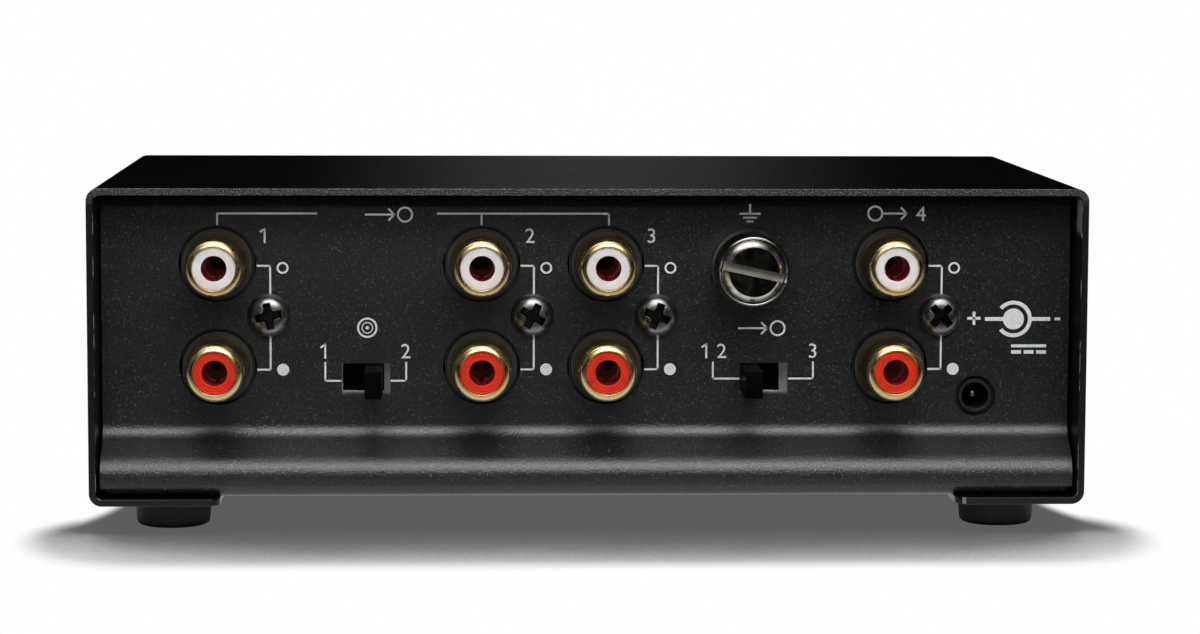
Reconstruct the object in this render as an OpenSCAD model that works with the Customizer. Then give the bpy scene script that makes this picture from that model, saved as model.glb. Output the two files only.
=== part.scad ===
// Phono preamplifier in a folded steel case, with stacked jacks, two slide switches,
// an earth terminal and a power inlet on a recessed connector panel.
// X runs to the right of someone facing the connectors, Y from the connectors to the fascia, Z up.
// The origin is under the middle of the case, on the surface that the feet stand on.
// Heights called "above the cover" are measured from the cover's underside.

/* [Cover] */
// Width of the cover
cover_w = 140; // [136:1:170]
// Height of the cover, without the feet
cover_h = 44.6; // [43:0.2:56]
// Depth of the cover, from the connector side to the fascia side
cover_d = 80; // [76:1:110]
// Thickness of the steel sheet of the cover and the tray
sheet_t = 1.0; // [0.8:0.1:1.2]
// Inside radius of every bend in the steel sheet
bend_r = 0.8; // [0.4:0.1:1.0]
// Width of the flange turned under each side of the cover
flange_w = 18.2; // [17:0.2:24]
// Radius of the flanges' free corners
flange_corner_r = 2; // [0.5:0.5:4]

/* [Tray and connector panel] */
// Gap between the tray and the cover, at each side and at the top
tray_gap = 0.4; // [0.2:0.1:0.8]
// How deep the connector panel lies behind the cover's edge
panel_recess = 7; // [6:0.25:8]
// How deep the strip below the connector panel lies behind the cover's edge
strip_recess = 1.75; // [1.25:0.25:2.5]
// Height above the cover of the bend at the strip's top
strip_h = 5.45; // [4.8:0.05:6]
// Height above the cover of the bend at the connector panel's bottom
slope_h = 9.6; // [9:0.1:10.4]
// Width of the lip turned in along the connector panel's top
lip_w = 6; // [4:0.5:9]
// Distance from the top of the front upstand up to the cover's top
upstand_drop = 6; // [4:0.5:10]
// Height of the drawn collars that take the foot screws
thread_collar_h = 1.2; // [0.8:0.1:2]

/* [Fascia and indicator] */
// Thickness of the fascia
fascia_t = 3; // [2.6:0.1:4]
// How deep the fascia's face lies behind the cover's front edge
fascia_recess = 1; // [0.5:0.1:2]
// Gap around the fascia inside the cover
fascia_gap = 0.3; // [0.2:0.05:0.6]
// Width of the bevel around the fascia's face
fascia_bevel = 0.8; // [0.4:0.1:1.2]
// Distance from the middle of the case to the indicator
indicator_x = 50; // [30:1:54]
// Height of the indicator above the cover
indicator_h = 22.3; // [19:0.1:26]
// Diameter of the indicator's lens
lens_d = 3; // [2.4:0.1:3.6]
// Distance from the middle of the case to the fascia's screws
fascia_screw_x = 38; // [20:1:42]
// Height above the cover of the fascia's lower screws
fascia_screw_h = 14; // [13:0.5:17]
// Distance between the lower and the upper fascia screws
fascia_screw_rise = 19; // [14:0.5:21]

/* [Feet] */
// Diameter of a foot
foot_d = 11; // [9.5:0.5:12]
// Height of a foot
foot_h = 4; // [3.6:0.1:6]
// Distance from the side of the cover to a foot's middle
foot_inset = 11; // [9:0.5:12]
// Distance from the cover's front or rear edge to a foot's middle
foot_setback = 10.5; // [9:0.5:13]
// Radius of the foot's lower edge
foot_edge_r = 0.8; // [0.4:0.1:1]
// How much narrower the foot is at the floor than at the cover, in diameter
foot_taper = 0.6; // [0:0.1:1]
// Depth of the pocket in the foot for the screw's head
foot_pocket = 2.3; // [2.2:0.1:2.6]

/* [Screws] */
// Thread diameter of the pan-head screws
screw_d = 3; // [2.6:0.1:3.2]
// Head diameter of the pan-head screws
head_d = 6.1; // [5.6:0.1:6.4]
// Head height of the pan-head screws
head_h = 1.9; // [1.6:0.1:2.2]
// Diameter of a hole that a screw passes through freely
clear_d = 3.5; // [3.4:0.1:3.8]
// Thread diameter of the fascia's small screws
small_screw_d = 2.5; // [2:0.1:2.8]

/* [Jacks] */
// Distance from the middle of the case to the moving-coil input's jacks
coil_in_x = -52.3; // [-54:0.1:-50]
// Distance from the middle of the case to the moving-magnet input's jacks
magnet_in_x = -15.1; // [-16:0.1:-14.5]
// Distance from the middle of the case to the line input's jacks
line_in_x = 2.5; // [2:0.1:3]
// Distance from the middle of the case to the line output's jacks
line_out_x = 42.9; // [42:0.1:44]
// Height of the lower jacks above the cover
jack_h = 18.9; // [18:0.1:20]
// Distance between the lower and the upper jacks
jack_pitch = 14.6; // [13:0.1:16]
// Outer diameter of a jack's shell
shell_d = 8.2; // [8:0.1:8.4]
// Wall thickness of a jack's shell
shell_wall = 0.45; // [0.35:0.05:0.6]
// How far a jack's shell stands out of the connector panel
shell_reach = 8.6; // [8.2:0.1:10]
// Diameter of the insert that shows inside the shell's rolled lip
insert_d = 6.1; // [5.8:0.1:6.3]
// How far the insert's face lies behind the lip's crest
insert_set = 0.35; // [0.2:0.05:0.5]
// Diameter of the insert's hole for the plug's centre pin
plug_pin_d = 3.56; // [3.4:0.02:3.7]
// Length of the insert's hole in front of the contact
insert_hole_l = 6; // [5:0.5:6.5]
// Inner diameter of the spring socket that grips the plug's centre pin
socket_bore_d = 3.2; // [3:0.05:3.2]
// Diameter of the housing's collar in the panel's hole
collar_d = 9.95; // [9.8:0.05:10.2]
// Diameter of the collar's inner step
collar_step_d = 9; // [8.95:0.05:9.3]
// How far each step of the collar stands proud
collar_step_h = 0.4; // [0.2:0.05:0.6]
// Gap around the collar in the panel's hole
collar_gap = 0.48; // [0.3:0.02:0.6]
// Width of a jack housing
housing_w = 10.4; // [10.2:0.1:11]
// Depth of a jack housing behind the panel
housing_d = 13; // [12.8:0.1:15]
// Distance from a column of jacks to its screw
ear_x = 7.2; // [7:0.1:7.6]
// Height of the housing's ear that takes the screw
ear_h = 7; // [6:0.5:8]
// Depth of the housing's ear
ear_d = 6.5; // [5.5:0.5:8]

/* [Slide switches] */
// Distance from the middle of the case to the cartridge switch
cartridge_switch_x = -31.9; // [-32.4:0.1:-31.4]
// Distance from the middle of the case to the source switch
source_switch_x = 24.6; // [24.4:0.1:25.4]
// How far the panel's slots lie to the right of the switches
slot_shift = 0.45; // [0:0.05:0.45]
// Height of the switches above the cover
switch_h = 17.1; // [16.5:0.1:18]
// Travel of a switch's slider from end to end
travel = 3.2; // [2.6:0.1:3.2]
// Width of a switch's knob
knob_w = 2.4; // [2.2:0.1:2.8]
// Height of a switch's knob
knob_h = 3.9; // [3.5:0.1:4]
// How far a knob stands out of the connector panel
knob_reach = 8; // [5:0.1:8.4]
// Gap above and below the knob in the panel's slot
slot_gap = 0.28; // [0.2:0.02:0.4]
// Gap from a knob's last position to the end of a slot that isn't shifted
slot_end_gap = 0.65; // [0.6:0.05:1]
// How far a switch's frame lies behind the connector panel's face
frame_set = 3.6; // [3:0.1:4]
// Width of a switch's frame
frame_w = 12.4; // [12.4:0.1:12.8]
// Height of a switch's frame
frame_h = 5.6; // [5.4:0.1:6]
// Thickness of the frame's sheet
frame_t = 0.4; // [0.3:0.05:0.5]
// Running gap around a slider
slide_gap = 0.1; // [0.06:0.01:0.14]
// Width of the slider's carrier, which runs inside the frame
carrier_w = 9; // [8.8:0.1:9.1]
// Depth of the slider's carrier
carrier_d = 2; // [1.8:0.1:2.4]
// Distance between neighbouring terminals in a row
terminal_pitch = 3; // [2.8:0.1:3.2]
// Distance between a switch's two rows of terminals
terminal_rows = 2.4; // [2.2:0.1:2.6]

/* [Earth terminal] */
// Distance from the middle of the case to the earth terminal
earth_x = 22.9; // [22.4:0.1:24]
// Height of the earth terminal above the cover
earth_h = 33; // [31:0.1:34.5]
// Diameter of the thumb screw's knurled head
thumb_d = 10.3; // [9:0.1:11]
// How far the thumb screw stands out of the connector panel
thumb_reach = 8; // [7:0.1:8.6]
// Thread diameter of the thumb screw
thumb_thread_d = 4; // [3.5:0.1:4.4]
// Advance of the thumb screw in one turn
thumb_pitch = 0.7; // [0.5:0.1:0.8]
// Diameter of the flat on the thumb screw's face
thumb_flat_d = 7; // [6:0.1:7.6]
// Diameter of the bevelled boss around that flat
thumb_boss_d = 8.7; // [8.2:0.1:8.8]
// How far the boss stands out of the ring around it
thumb_boss_h = 1; // [0.9:0.1:1.2]
// Width of the ring around the boss
thumb_ring_w = 0.25; // [0.15:0.05:0.3]
// Depth of the groove between the boss and the ring
thumb_groove_d = 0.3; // [0.2:0.05:0.4]
// Width of the thumb screw's slot
thumb_slot_w = 1.2; // [0.8:0.1:1.5]
// Depth of the thumb screw's slot
thumb_slot_d = 1.2; // [0.8:0.1:1.2]
// Angle of the thumb screw's slot at rest
thumb_slot_angle = 12; // [0:1:90]
// Number of ridges around the thumb screw
knurl_count = 40; // [24:2:60]
// Depth of the knurling
knurl_depth = 0.3; // [0.15:0.05:0.4]
// Outer diameter of the thumb screw's washer
washer_d = 11; // [9.5:0.1:11.4]
// Thickness of the washer
washer_t = 0.8; // [0.5:0.1:1.2]
// Width of the terminal's nut across its flats
nut_w = 7; // [6.6:0.1:8]
// Thickness of the terminal's nut
nut_t = 3.2; // [2.4:0.1:4]
// Thickness of the solder lug
lug_t = 0.5; // [0.4:0.1:0.8]
// Distance from the middle of the case to the lug's leg
lug_leg_x = 16.4; // [15.6:0.1:16.6]
// Width of the lug's leg
lug_leg_w = 3; // [2:0.5:3]

/* [Power inlet] */
// Distance from the middle of the case to the power inlet
power_x = 55.3; // [54:0.1:57]
// Height of the power inlet above the cover
power_h = 14.6; // [14.2:0.1:16]
// Outer diameter of the inlet's nose
nose_d = 4.7; // [4.4:0.1:5]
// Gap around the nose in the panel's hole
nose_gap = 0.55; // [0.3:0.05:0.7]
// Diameter of the inlet's mouth
mouth_d = 3.8; // [3.6:0.05:4]
// Depth of the inlet's mouth
mouth_depth = 11; // [9:0.5:12]
// Diameter of the inlet's centre pin
power_pin_d = 1.3; // [1.1:0.05:1.4]
// How far the centre pin's tip lies inside the mouth
power_pin_set = 2.3; // [1.5:0.1:3]
// Width and height of the inlet's body
power_body_w = 8.4; // [7:0.1:8.8]
// Depth of the inlet's body behind the connector panel
power_body_d = 12.5; // [12.2:0.1:14]

/* [Board] */
// Height of the standoffs under the board
standoff_h = 5; // [4.4:0.1:5.2]
// Diameter of a standoff
standoff_d = 5; // [4.6:0.1:6]
// Thickness of the board
board_t = 1.6; // [1.2:0.1:1.8]
// Gap between the board and each side of the tray
board_side_gap = 3; // [2:0.5:5]
// Gap between the board and the connector panel
board_rear_gap = 0.6; // [0.4:0.1:0.8]
// Gap between the board and the front upstand
board_front_gap = 4; // [3:0.5:6]
// Distance from the board's side to a standoff's middle
standoff_inset = 5; // [4.5:0.5:7]
// Distance from the board's rear edge to the rear standoffs
standoff_rear = 20; // [19:0.5:22]
// Distance from the board's front edge to the front standoffs
standoff_front = 8; // [7:0.5:10]
// Radius of the board's corners
board_corner_r = 2; // [1:0.5:4]
// How far solder pins reach below the board
pin_drop = 1.2; // [0.8:0.1:2]

/* [Components] */
// Number of amplifier chips
chip_count = 3; // [1:1:3]
// Length of an amplifier chip
chip_l = 9.6; // [9:0.1:10]
// Width of an amplifier chip's body
chip_w = 6.4; // [6:0.1:7]
// Number of electrolytic capacitors
can_count = 6; // [2:1:6]
// Diameter of an electrolytic capacitor
can_d = 8; // [5:0.5:9]
// Height of an electrolytic capacitor
can_h = 12; // [7:0.5:16]
// Number of film capacitors
film_count = 6; // [2:1:6]
// Length of a film capacitor
film_l = 7.2; // [6:0.1:9]
// Number of resistors in each of the two rows
resistor_count = 9; // [2:1:9]
// Length of a resistor's body
resistor_l = 6.3; // [5:0.1:7]
// Distance between neighbouring resistors
resistor_pitch = 12.8; // [12.2:0.1:12.8]
// Distance between neighbouring capacitors
component_pitch = 15; // [13:0.5:15]

/* [Hidden] */

$fn = 48;

// Gap between parts that are pressed or moulded together, as a radius
seat = 0.02;
// Amount by which a cut passes the face that it opens
cut = 1;
// Number of flats that stand for the arc of one bend
bend_steps = 10;
// Gap around the earth terminal's thread where it passes the panel and the lug, as a radius
thread_hole_gap = 0.3;
// Gap around a screw's head in the foot's pocket, as a radius
pocket_gap = 0.2;
// Wall of the drawn collars around the foot screws
thread_collar_wall = 0.8;
// Radius of the holes for solder pins in the board
pin_hole_r = 0.7;

// Everything on the connector panel is placed from the panel's face
reach = max(shell_reach, thumb_reach, knob_reach) - panel_recess;
rear_y = (max(reach, 0) - cover_d) / 2;
front_y = rear_y + cover_d;
panel_y = rear_y + panel_recess;
strip_y = rear_y + strip_recess;
fascia_y = front_y - fascia_recess;
upstand_y = fascia_y - fascia_t;

// Levels above the surface that the feet stand on
cover_z = foot_h;
top_z = cover_z + cover_h;
tray_z = cover_z + sheet_t;
floor_z = tray_z + sheet_t;
board_z = floor_z + standoff_h;
board_top = board_z + board_t;
pin_z = board_z - pin_drop;
ceiling_z = top_z - sheet_t;
right_z = cover_z + jack_h;
left_z = right_z + jack_pitch;
ear_z = (left_z + right_z) / 2;
switch_z = cover_z + switch_h;
earth_z = cover_z + earth_h;
power_z = cover_z + power_h;
indicator_z = cover_z + indicator_h;

inner_w = cover_w - 2 * sheet_t;
tray_w = inner_w - 2 * tray_gap;
// Notch along each side of the tray's floor, which clears the inside of the cover's bend
relief = bend_r;
panel_top = ceiling_z - tray_gap;

board_w = tray_w - 2 * board_side_gap;
board_rear = panel_y + sheet_t + board_rear_gap;
board_front = upstand_y - sheet_t - board_front_gap;
board_d = board_front - board_rear;
standoff_x = board_w / 2 - standoff_inset;
standoff_ys = [board_rear + standoff_rear, board_front - standoff_front];
foot_x = cover_w / 2 - foot_inset;
foot_ys = [rear_y + foot_setback, front_y - foot_setback];
jack_xs = [coil_in_x, magnet_in_x, line_in_x, line_out_x];
switch_xs = [cartridge_switch_x, source_switch_x];

// Radii and depths of a jack, measured from its axis and from the panel's face
shell_r = shell_d / 2;
lip_r = (shell_d - insert_d) / 4;
lip_axis_r = shell_r - lip_r;
lip_y = lip_r - shell_reach;
lip_back = 0.3;
shell_rear = 4;
shell_shoulder = 0.2;
shell_seat_r = shell_r + shell_shoulder;
shell_seat_y = -2 * collar_step_h;
shell_flange_w = 0.35;
shell_flange_r = shell_seat_r + shell_flange_w;
shell_flange_t = 0.6;
insert_r = shell_r - shell_wall - seat;
insert_front = insert_set - shell_reach;
insert_rear = 8;
socket_front = insert_front + insert_hole_l;
socket_wall = 0.45;
socket_r = socket_bore_d / 2 + socket_wall;
socket_rear = insert_rear - 0.4;
socket_root = 2.6;
socket_slit_w = 0.5;
tail_t = 0.4;
tail_w = 1;
lower_tail_y = insert_rear + 1;
upper_tail_y = lower_tail_y + 2.2;
tail_slot_w = tail_w + 0.6;
tail_slot_end = upper_tail_y + 1.4;
pilot_depth = 5;
// Turn of each jack screw's recess, clockwise
jack_screw_angles = [-10, 29, 21, 45];

// Depths of a slide switch, measured from the panel's face
plate_back = frame_set + frame_t;
carrier_front = plate_back + slide_gap;
carrier_back = carrier_front + carrier_d;
carrier_h = frame_h - 2 * frame_t - 2 * slide_gap;
bridge_t = 0.3;
bridge_w = 1.2;
bridge_l = terminal_pitch + 1.4;
contact_gap = 0.1;
dimple_h = 0.35;
terminal_front = carrier_back + dimple_h + contact_gap;
rivet_h = 0.45;
base_front = terminal_front + rivet_h;
base_t = 1.6;
base_back = base_front + base_t;
terminal_r = 0.43;
window_gap = 0.15;
window_w = knob_w + travel + 2 * window_gap;
window_h = knob_h + 2 * window_gap;
slot_w = knob_w + travel + 2 * slot_end_gap;
slot_h = knob_h + 2 * slot_gap;
leg_y = frame_set + 1.6;
leg_w = 1;
first_tail = base_back + 0.8;
second_tail = first_tail + 1.2;

// Depths of the earth terminal, measured from the panel's face
washer_gap = 0.05;
thumb_back = -washer_gap - washer_t - washer_gap;
thumb_tip = sheet_t + lug_t + nut_t + 4.5;
thread_gap = 0.05;
lug_r = 4.5;
lug_foot = 6;

function unit(a) = [cos(a), sin(a)];
function heading(from, to) = atan2(to.y - from.y, to.x - from.x);
function turn(a, b) = (b - a + 540) % 360 - 180;

// One end or bend of a folded sheet, as pairs of points on its two faces
function bend_pairs(path, i, t, r) =
    let (last = len(path) - 1)
    let (a = i > 0 ? heading(path[i - 1], path[i]) : heading(path[0], path[1]))
    let (b = i < last ? heading(path[i], path[i + 1]) : a)
    let (fold = turn(a, b))
    let (side = fold > 0 ? 1 : -1)
    let (arc_r = fold > 0 ? r + t : r)
    let (centre = path[i] - unit(a) * arc_r * tan(abs(fold) / 2) + side * arc_r * unit(a + 90))
    abs(fold) < 1
        ? [[path[i], path[i] + t * unit(a + 90)]]
        : [for (k = [0 : bend_steps])
            let (ray = unit(a - side * 90 + fold * k / bend_steps))
            [centre + arc_r * ray, centre + (arc_r - side * t) * ray]];

// Outline of a sheet folded along a path: the sheet's thickness lies to the left of the path
function folded(path, t, r) =
    let (pairs = [for (i = [0 : len(path) - 1]) each bend_pairs(path, i, t, r)])
    let (n = len(pairs))
    concat([for (i = [0 : n - 1]) pairs[i][0]], [for (i = [1 : n]) pairs[n - i][1]]);

// Points of an arc from angle a to angle b
function arc(centre, r, a, b, steps) =
    [for (k = [0 : steps]) centre + r * unit(a + (b - a) * k / steps)];

// A side view, given as depth and height, drawn out to a width across the case
module across(w) {
    rotate([90, 0, 90])
        linear_extrude(w, center = true)
            children();
}

// Puts a piece that is modelled along Z on an axis that runs into the connector panel
module into_panel(x, z) {
    translate([x, panel_y, z])
        rotate([-90, 0, 0])
            children();
}

// A bar or a hole along that axis, from one depth behind the panel's face to another
module rod(x, z, r, from, to) {
    into_panel(x, z)
        translate([0, 0, from])
            cylinder(r = r, h = to - from);
}

// A block given by its two corners in depth and height, centred across x
module block(x, w, y0, y1, z0, z1) {
    translate([x - w / 2, panel_y + y0, z0])
        cube([w, y1 - y0, z1 - z0]);
}

// A pan-head screw that points up, with its head below z = 0 and a cross recess in it
module pan_screw(d, head, height, l) {
    slot_w = 0.16 * head;
    slot_l = 0.56 * head;
    slot_d = 0.6 * height;
    difference() {
        union() {
            rotate_extrude()
                polygon(concat([[0, 0]], [for (a = [0 : 15 : 90])
                    [head / 2 * pow(cos(a), 0.6), -height * sin(a)]]));
            cylinder(d = d, h = l);
        }
        for (a = [0, 90])
            rotate(a)
                translate([-slot_l / 2, -slot_w / 2, -height - cut])
                    cube([slot_l, slot_w, slot_d + cut]);
    }
}

module at_feet() {
    for (x = [-foot_x, foot_x], y = foot_ys)
        translate([x, y, 0])
            children();
}

module at_standoffs() {
    for (x = [-standoff_x, standoff_x], y = standoff_ys)
        translate([x, y, 0])
            children();
}

module at_fascia_screws() {
    for (x = [-fascia_screw_x, fascia_screw_x], rise = [0, fascia_screw_rise])
        translate([x, upstand_y, cover_z + fascia_screw_h + rise])
            rotate([-90, 0, 0])
                children();
}

// Folded sleeve around the top, the sides and the edges of the underside
module cover() {
    half = cover_w / 2;
    path = [
        [half - flange_w, cover_z], [half, cover_z], [half, top_z],
        [-half, top_z], [-half, cover_z], [flange_w - half, cover_z],
    ];
    color("#1c1c1e")
    difference() {
        translate([0, front_y, 0])
            rotate([90, 0, 0])
                linear_extrude(cover_d)
                    polygon(folded(path, sheet_t, bend_r));
        at_feet()
            translate([0, 0, cover_z - cut])
                cylinder(d = clear_d, h = sheet_t + 2 * cut);
        for (side = [0, 1], end = [0, 1])
            mirror([side, 0, 0])
                translate([half - flange_w, end == 0 ? rear_y : front_y, cover_z])
                    mirror([0, end, 0])
                        flange_corner_cut();
    }
}

// What is left outside a quarter circle at a flange's free corner
module flange_corner_cut() {
    difference() {
        translate([-cut, -cut, -cut])
            cube([flange_corner_r + cut, flange_corner_r + cut, sheet_t + 2 * cut]);
        translate([flange_corner_r, flange_corner_r, -2 * cut])
            cylinder(r = flange_corner_r, h = sheet_t + 4 * cut);
    }
}

// Floor, kicked connector panel with its lip, and front upstand, folded from one sheet
module chassis_tray() {
    path = [
        [panel_y + lip_w, panel_top], [panel_y, panel_top], [panel_y, cover_z + slope_h],
        [strip_y, cover_z + strip_h], [strip_y, tray_z], [upstand_y, tray_z],
        [upstand_y, top_z - upstand_drop],
    ];
    color("#232326")
    difference() {
        union() {
            across(tray_w)
                polygon(folded(path, sheet_t, bend_r));
            at_feet()
                translate([0, 0, tray_z])
                    cylinder(d = screw_d + 2 * thread_collar_wall, h = sheet_t + thread_collar_h);
        }
        at_feet()
            translate([0, 0, tray_z - cut])
                cylinder(r = screw_d / 2 + seat, h = sheet_t + thread_collar_h + 2 * cut);
        for (side = [0, 1])
            mirror([side, 0, 0])
                translate([tray_w / 2 - relief, strip_y - cut, tray_z - cut])
                    cube([relief + cut, upstand_y - strip_y + 2 * cut, bend_r + tray_gap + cut]);
        at_standoffs()
            translate([0, 0, tray_z - cut])
                cylinder(d = standoff_stud_d + 2 * seat, h = sheet_t + 2 * cut);
        at_fascia_screws()
            translate([0, 0, -sheet_t - cut])
                cylinder(d = small_screw_d + 0.4, h = sheet_t + 2 * cut);
        translate([indicator_x, upstand_y - sheet_t - cut, indicator_z])
            rotate([-90, 0, 0])
                cylinder(r = lens_flange_r + 0.3, h = sheet_t + 2 * cut);
        panel_holes();
    }
}

// Every opening in the connector panel
module panel_holes() {
    for (x = jack_xs) {
        for (z = [right_z, left_z])
            rod(x, z, collar_d / 2 + collar_gap, -cut, sheet_t + cut);
        rod(x + ear_x, ear_z, clear_d / 2, -cut, sheet_t + cut);
    }
    for (x = switch_xs)
        block(x + slot_shift, slot_w, -cut, sheet_t + cut,
            switch_z - slot_h / 2, switch_z + slot_h / 2);
    rod(earth_x, earth_z, thumb_thread_d / 2 + thread_hole_gap, -cut, sheet_t + cut);
    rod(power_x, power_z, nose_d / 2 + nose_gap, -cut, sheet_t + cut);
}

// Dimensions shared by the fascia, the lens and the light behind it
lens_flange_r = lens_d / 2 + 0.8;
lens_flange_t = 0.8;
lens_dome_h = 0.4;
small_head_d = small_screw_d * 1.9;
small_head_h = small_screw_d * 0.6;
fascia_pilot = fascia_t - 0.8;
standoff_stud_d = 3.6;

// Moulded plate that closes the front, bevelled around its face
module front_fascia() {
    w = inner_w - 2 * fascia_gap;
    low = cover_z + sheet_t + fascia_gap;
    high = ceiling_z - fascia_gap;
    b = fascia_bevel;
    color("#161618")
    difference() {
        intersection() {
            across(w)
                polygon([
                    [upstand_y, low], [fascia_y - b, low], [fascia_y, low + b],
                    [fascia_y, high - b], [fascia_y - b, high], [upstand_y, high],
                ]);
            translate([0, 0, low])
                linear_extrude(high - low)
                    polygon([
                        [-w / 2, upstand_y], [w / 2, upstand_y], [w / 2, fascia_y - b],
                        [w / 2 - b, fascia_y], [b - w / 2, fascia_y], [-w / 2, fascia_y - b],
                    ]);
        }
        at_fascia_screws()
            translate([0, 0, -cut])
                cylinder(r = small_screw_d / 2 + seat, h = fascia_pilot + cut);
        translate([indicator_x, upstand_y - cut, indicator_z])
            rotate([-90, 0, 0])
                cylinder(r = lens_d / 2 + seat, h = fascia_t + 2 * cut);
    }
}

module fascia_screws() {
    color("#8d8d90")
    at_fascia_screws()
        translate([0, 0, -sheet_t])
            pan_screw(small_screw_d, small_head_d, small_head_h, sheet_t + fascia_pilot - 0.3);
}

module indicator_lens() {
    color("#cfe0ee")
    translate([indicator_x, upstand_y, indicator_z])
        rotate([-90, 0, 0])
            rotate_extrude()
                polygon(concat(
                    [[0, -lens_flange_t], [lens_flange_r, -lens_flange_t]],
                    [[lens_flange_r, 0], [lens_d / 2, 0]],
                    [for (a = [0 : 15 : 90])
                        [lens_d / 2 * cos(a), fascia_t + lens_dome_h * sin(a)]]
                ));
}

// A domed light on two legs that bend down to the board
module indicator_led() {
    r = 1.5;
    collar_t = 0.8;
    body_l = 4.4;
    tip = -lens_flange_t - 0.3;
    leg_r = 0.25;
    leg_y = tip - r - body_l - 1.2;
    color("#dfe8ee")
    translate([indicator_x, upstand_y, indicator_z]) {
        rotate([-90, 0, 0])
            rotate_extrude()
                polygon(concat(
                    [[0, tip - r - body_l], [r + 0.4, tip - r - body_l]],
                    [[r + 0.4, tip - r - body_l + collar_t], [r, tip - r - body_l + collar_t]],
                    [for (a = [0 : 15 : 90]) [r * cos(a), tip - r + r * sin(a)]]
                ));
        for (x = [-1.27, 1.27]) {
            translate([x * 0.9, leg_y - leg_r, 0])
                rotate([-90, 0, 0])
                    cylinder(r = leg_r, h = tip - r - body_l - leg_y + 2 * leg_r, $fn = 16);
            translate([x * 0.9, leg_y, board_top - indicator_z])
                cylinder(r = leg_r, h = indicator_z - board_top + leg_r, $fn = 16);
        }
    }
}

// Tapered rubber foot with a rounded lower edge and a pocket for its screw
module foot(x, y) {
    top_r = foot_d / 2;
    low_r = top_r - foot_taper / 2;
    bore_r = screw_d / 2 + 0.1;
    pocket_r = head_d / 2 + pocket_gap;
    color("#101011")
    translate([x, y, 0])
        rotate_extrude()
            polygon(concat(
                [[pocket_r, 0]],
                arc([low_r - foot_edge_r, foot_edge_r], foot_edge_r, -90, 0, 6),
                [[top_r, foot_h], [bore_r, foot_h], [bore_r, foot_pocket]],
                [[pocket_r, foot_pocket]]
            ));
}

module rear_left_foot() { foot(-foot_x, foot_ys[0]); }
module rear_right_foot() { foot(foot_x, foot_ys[0]); }
module front_left_foot() { foot(-foot_x, foot_ys[1]); }
module front_right_foot() { foot(foot_x, foot_ys[1]); }

// They hold the feet and the cover to the tray
module foot_screws() {
    color("#8d8d90")
    at_feet()
        translate([0, 0, foot_pocket])
            pan_screw(screw_d, head_d, head_h, floor_z + thread_collar_h - foot_pocket);
}

// Fibreglass board with holes for its screws and for the pins of what it carries
module main_board() {
    color("#1f5a34")
    difference() {
        union() {
            translate([-board_w / 2, board_rear + board_corner_r, board_z])
                cube([board_w, board_d - 2 * board_corner_r, board_t]);
            translate([board_corner_r - board_w / 2, board_rear, board_z])
                cube([board_w - 2 * board_corner_r, board_d, board_t]);
            for (x = [-1, 1], y = [board_rear + board_corner_r, board_front - board_corner_r])
                translate([x * (board_w / 2 - board_corner_r), y, board_z])
                    cylinder(r = board_corner_r, h = board_t);
        }
        at_standoffs()
            translate([0, 0, board_z - cut])
                cylinder(d = clear_d, h = board_t + 2 * cut);
        for (x = jack_xs, y = [lower_tail_y, upper_tail_y])
            pin_hole(x, y + tail_t / 2);
        for (x = switch_xs) {
            for (column = [-1, 0, 1], y = [first_tail, second_tail])
                pin_hole(x + column * terminal_pitch, y + frame_t / 2);
            for (side = [-1, 1])
                pin_hole(x + side * (frame_w - leg_w) / 2, leg_y + frame_t / 2);
        }
        pin_hole(power_x, sheet_t + power_body_d + tail_t / 2);
    }
}

module pin_hole(x, y) {
    translate([x, panel_y + y, board_z - cut])
        cylinder(r = pin_hole_r, h = board_t + 2 * cut);
}

// Hexagonal spacers with a stud pressed into the tray
module board_standoffs() {
    color("#b8b8ba")
    at_standoffs()
        difference() {
            union() {
                translate([0, 0, floor_z])
                    cylinder(d = standoff_d, h = standoff_h, $fn = 6);
                translate([0, 0, tray_z])
                    cylinder(d = standoff_stud_d, h = sheet_t + cut);
            }
            translate([0, 0, floor_z + 0.6])
                cylinder(r = screw_d / 2 + seat, h = standoff_h);
        }
}

module board_screws() {
    color("#8d8d90")
    at_standoffs()
        translate([0, 0, board_top])
            mirror([0, 0, 1])
                pan_screw(screw_d, head_d, head_h, board_t + standoff_h - cut);
}

// Black moulding that stands on the board and carries two jacks, one above the other
module jack_housing(x) {
    top = left_z + collar_d / 2 + 0.6;
    back = sheet_t + housing_d;
    chamfer = 2.5;
    color("#18181a")
    difference() {
        union() {
            translate([x, panel_y, 0])
                across(housing_w)
                    polygon([
                        [sheet_t, board_top], [back, board_top], [back, top - chamfer],
                        [back - chamfer, top], [sheet_t, top],
                    ]);
            for (z = [right_z, left_z]) {
                rod(x, z, collar_d / 2, -collar_step_h, sheet_t + cut);
                rod(x, z, collar_step_d / 2, -2 * collar_step_h, sheet_t);
            }
            block(x + (housing_w / 2 + ear_x + 3) / 2 - cut / 2, ear_x + 3 - housing_w / 2 + cut,
                sheet_t, sheet_t + ear_d, ear_z - ear_h / 2, ear_z + ear_h / 2);
        }
        for (z = [right_z, left_z]) {
            rod(x, z, shell_seat_r + seat, shell_seat_y - cut, shell_rear);
            rod(x, z, shell_flange_r + seat, shell_rear - shell_flange_t, shell_rear);
            rod(x, z, insert_r + seat, shell_rear - cut, insert_rear);
        }
        rod(x + ear_x, ear_z, screw_d / 2 + seat, sheet_t - cut, sheet_t + pilot_depth);
        block(x, tail_slot_w, insert_rear - cut / 2, tail_slot_end,
            board_top - cut, left_z - socket_r + tail_t + 0.2);
    }
}

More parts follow.
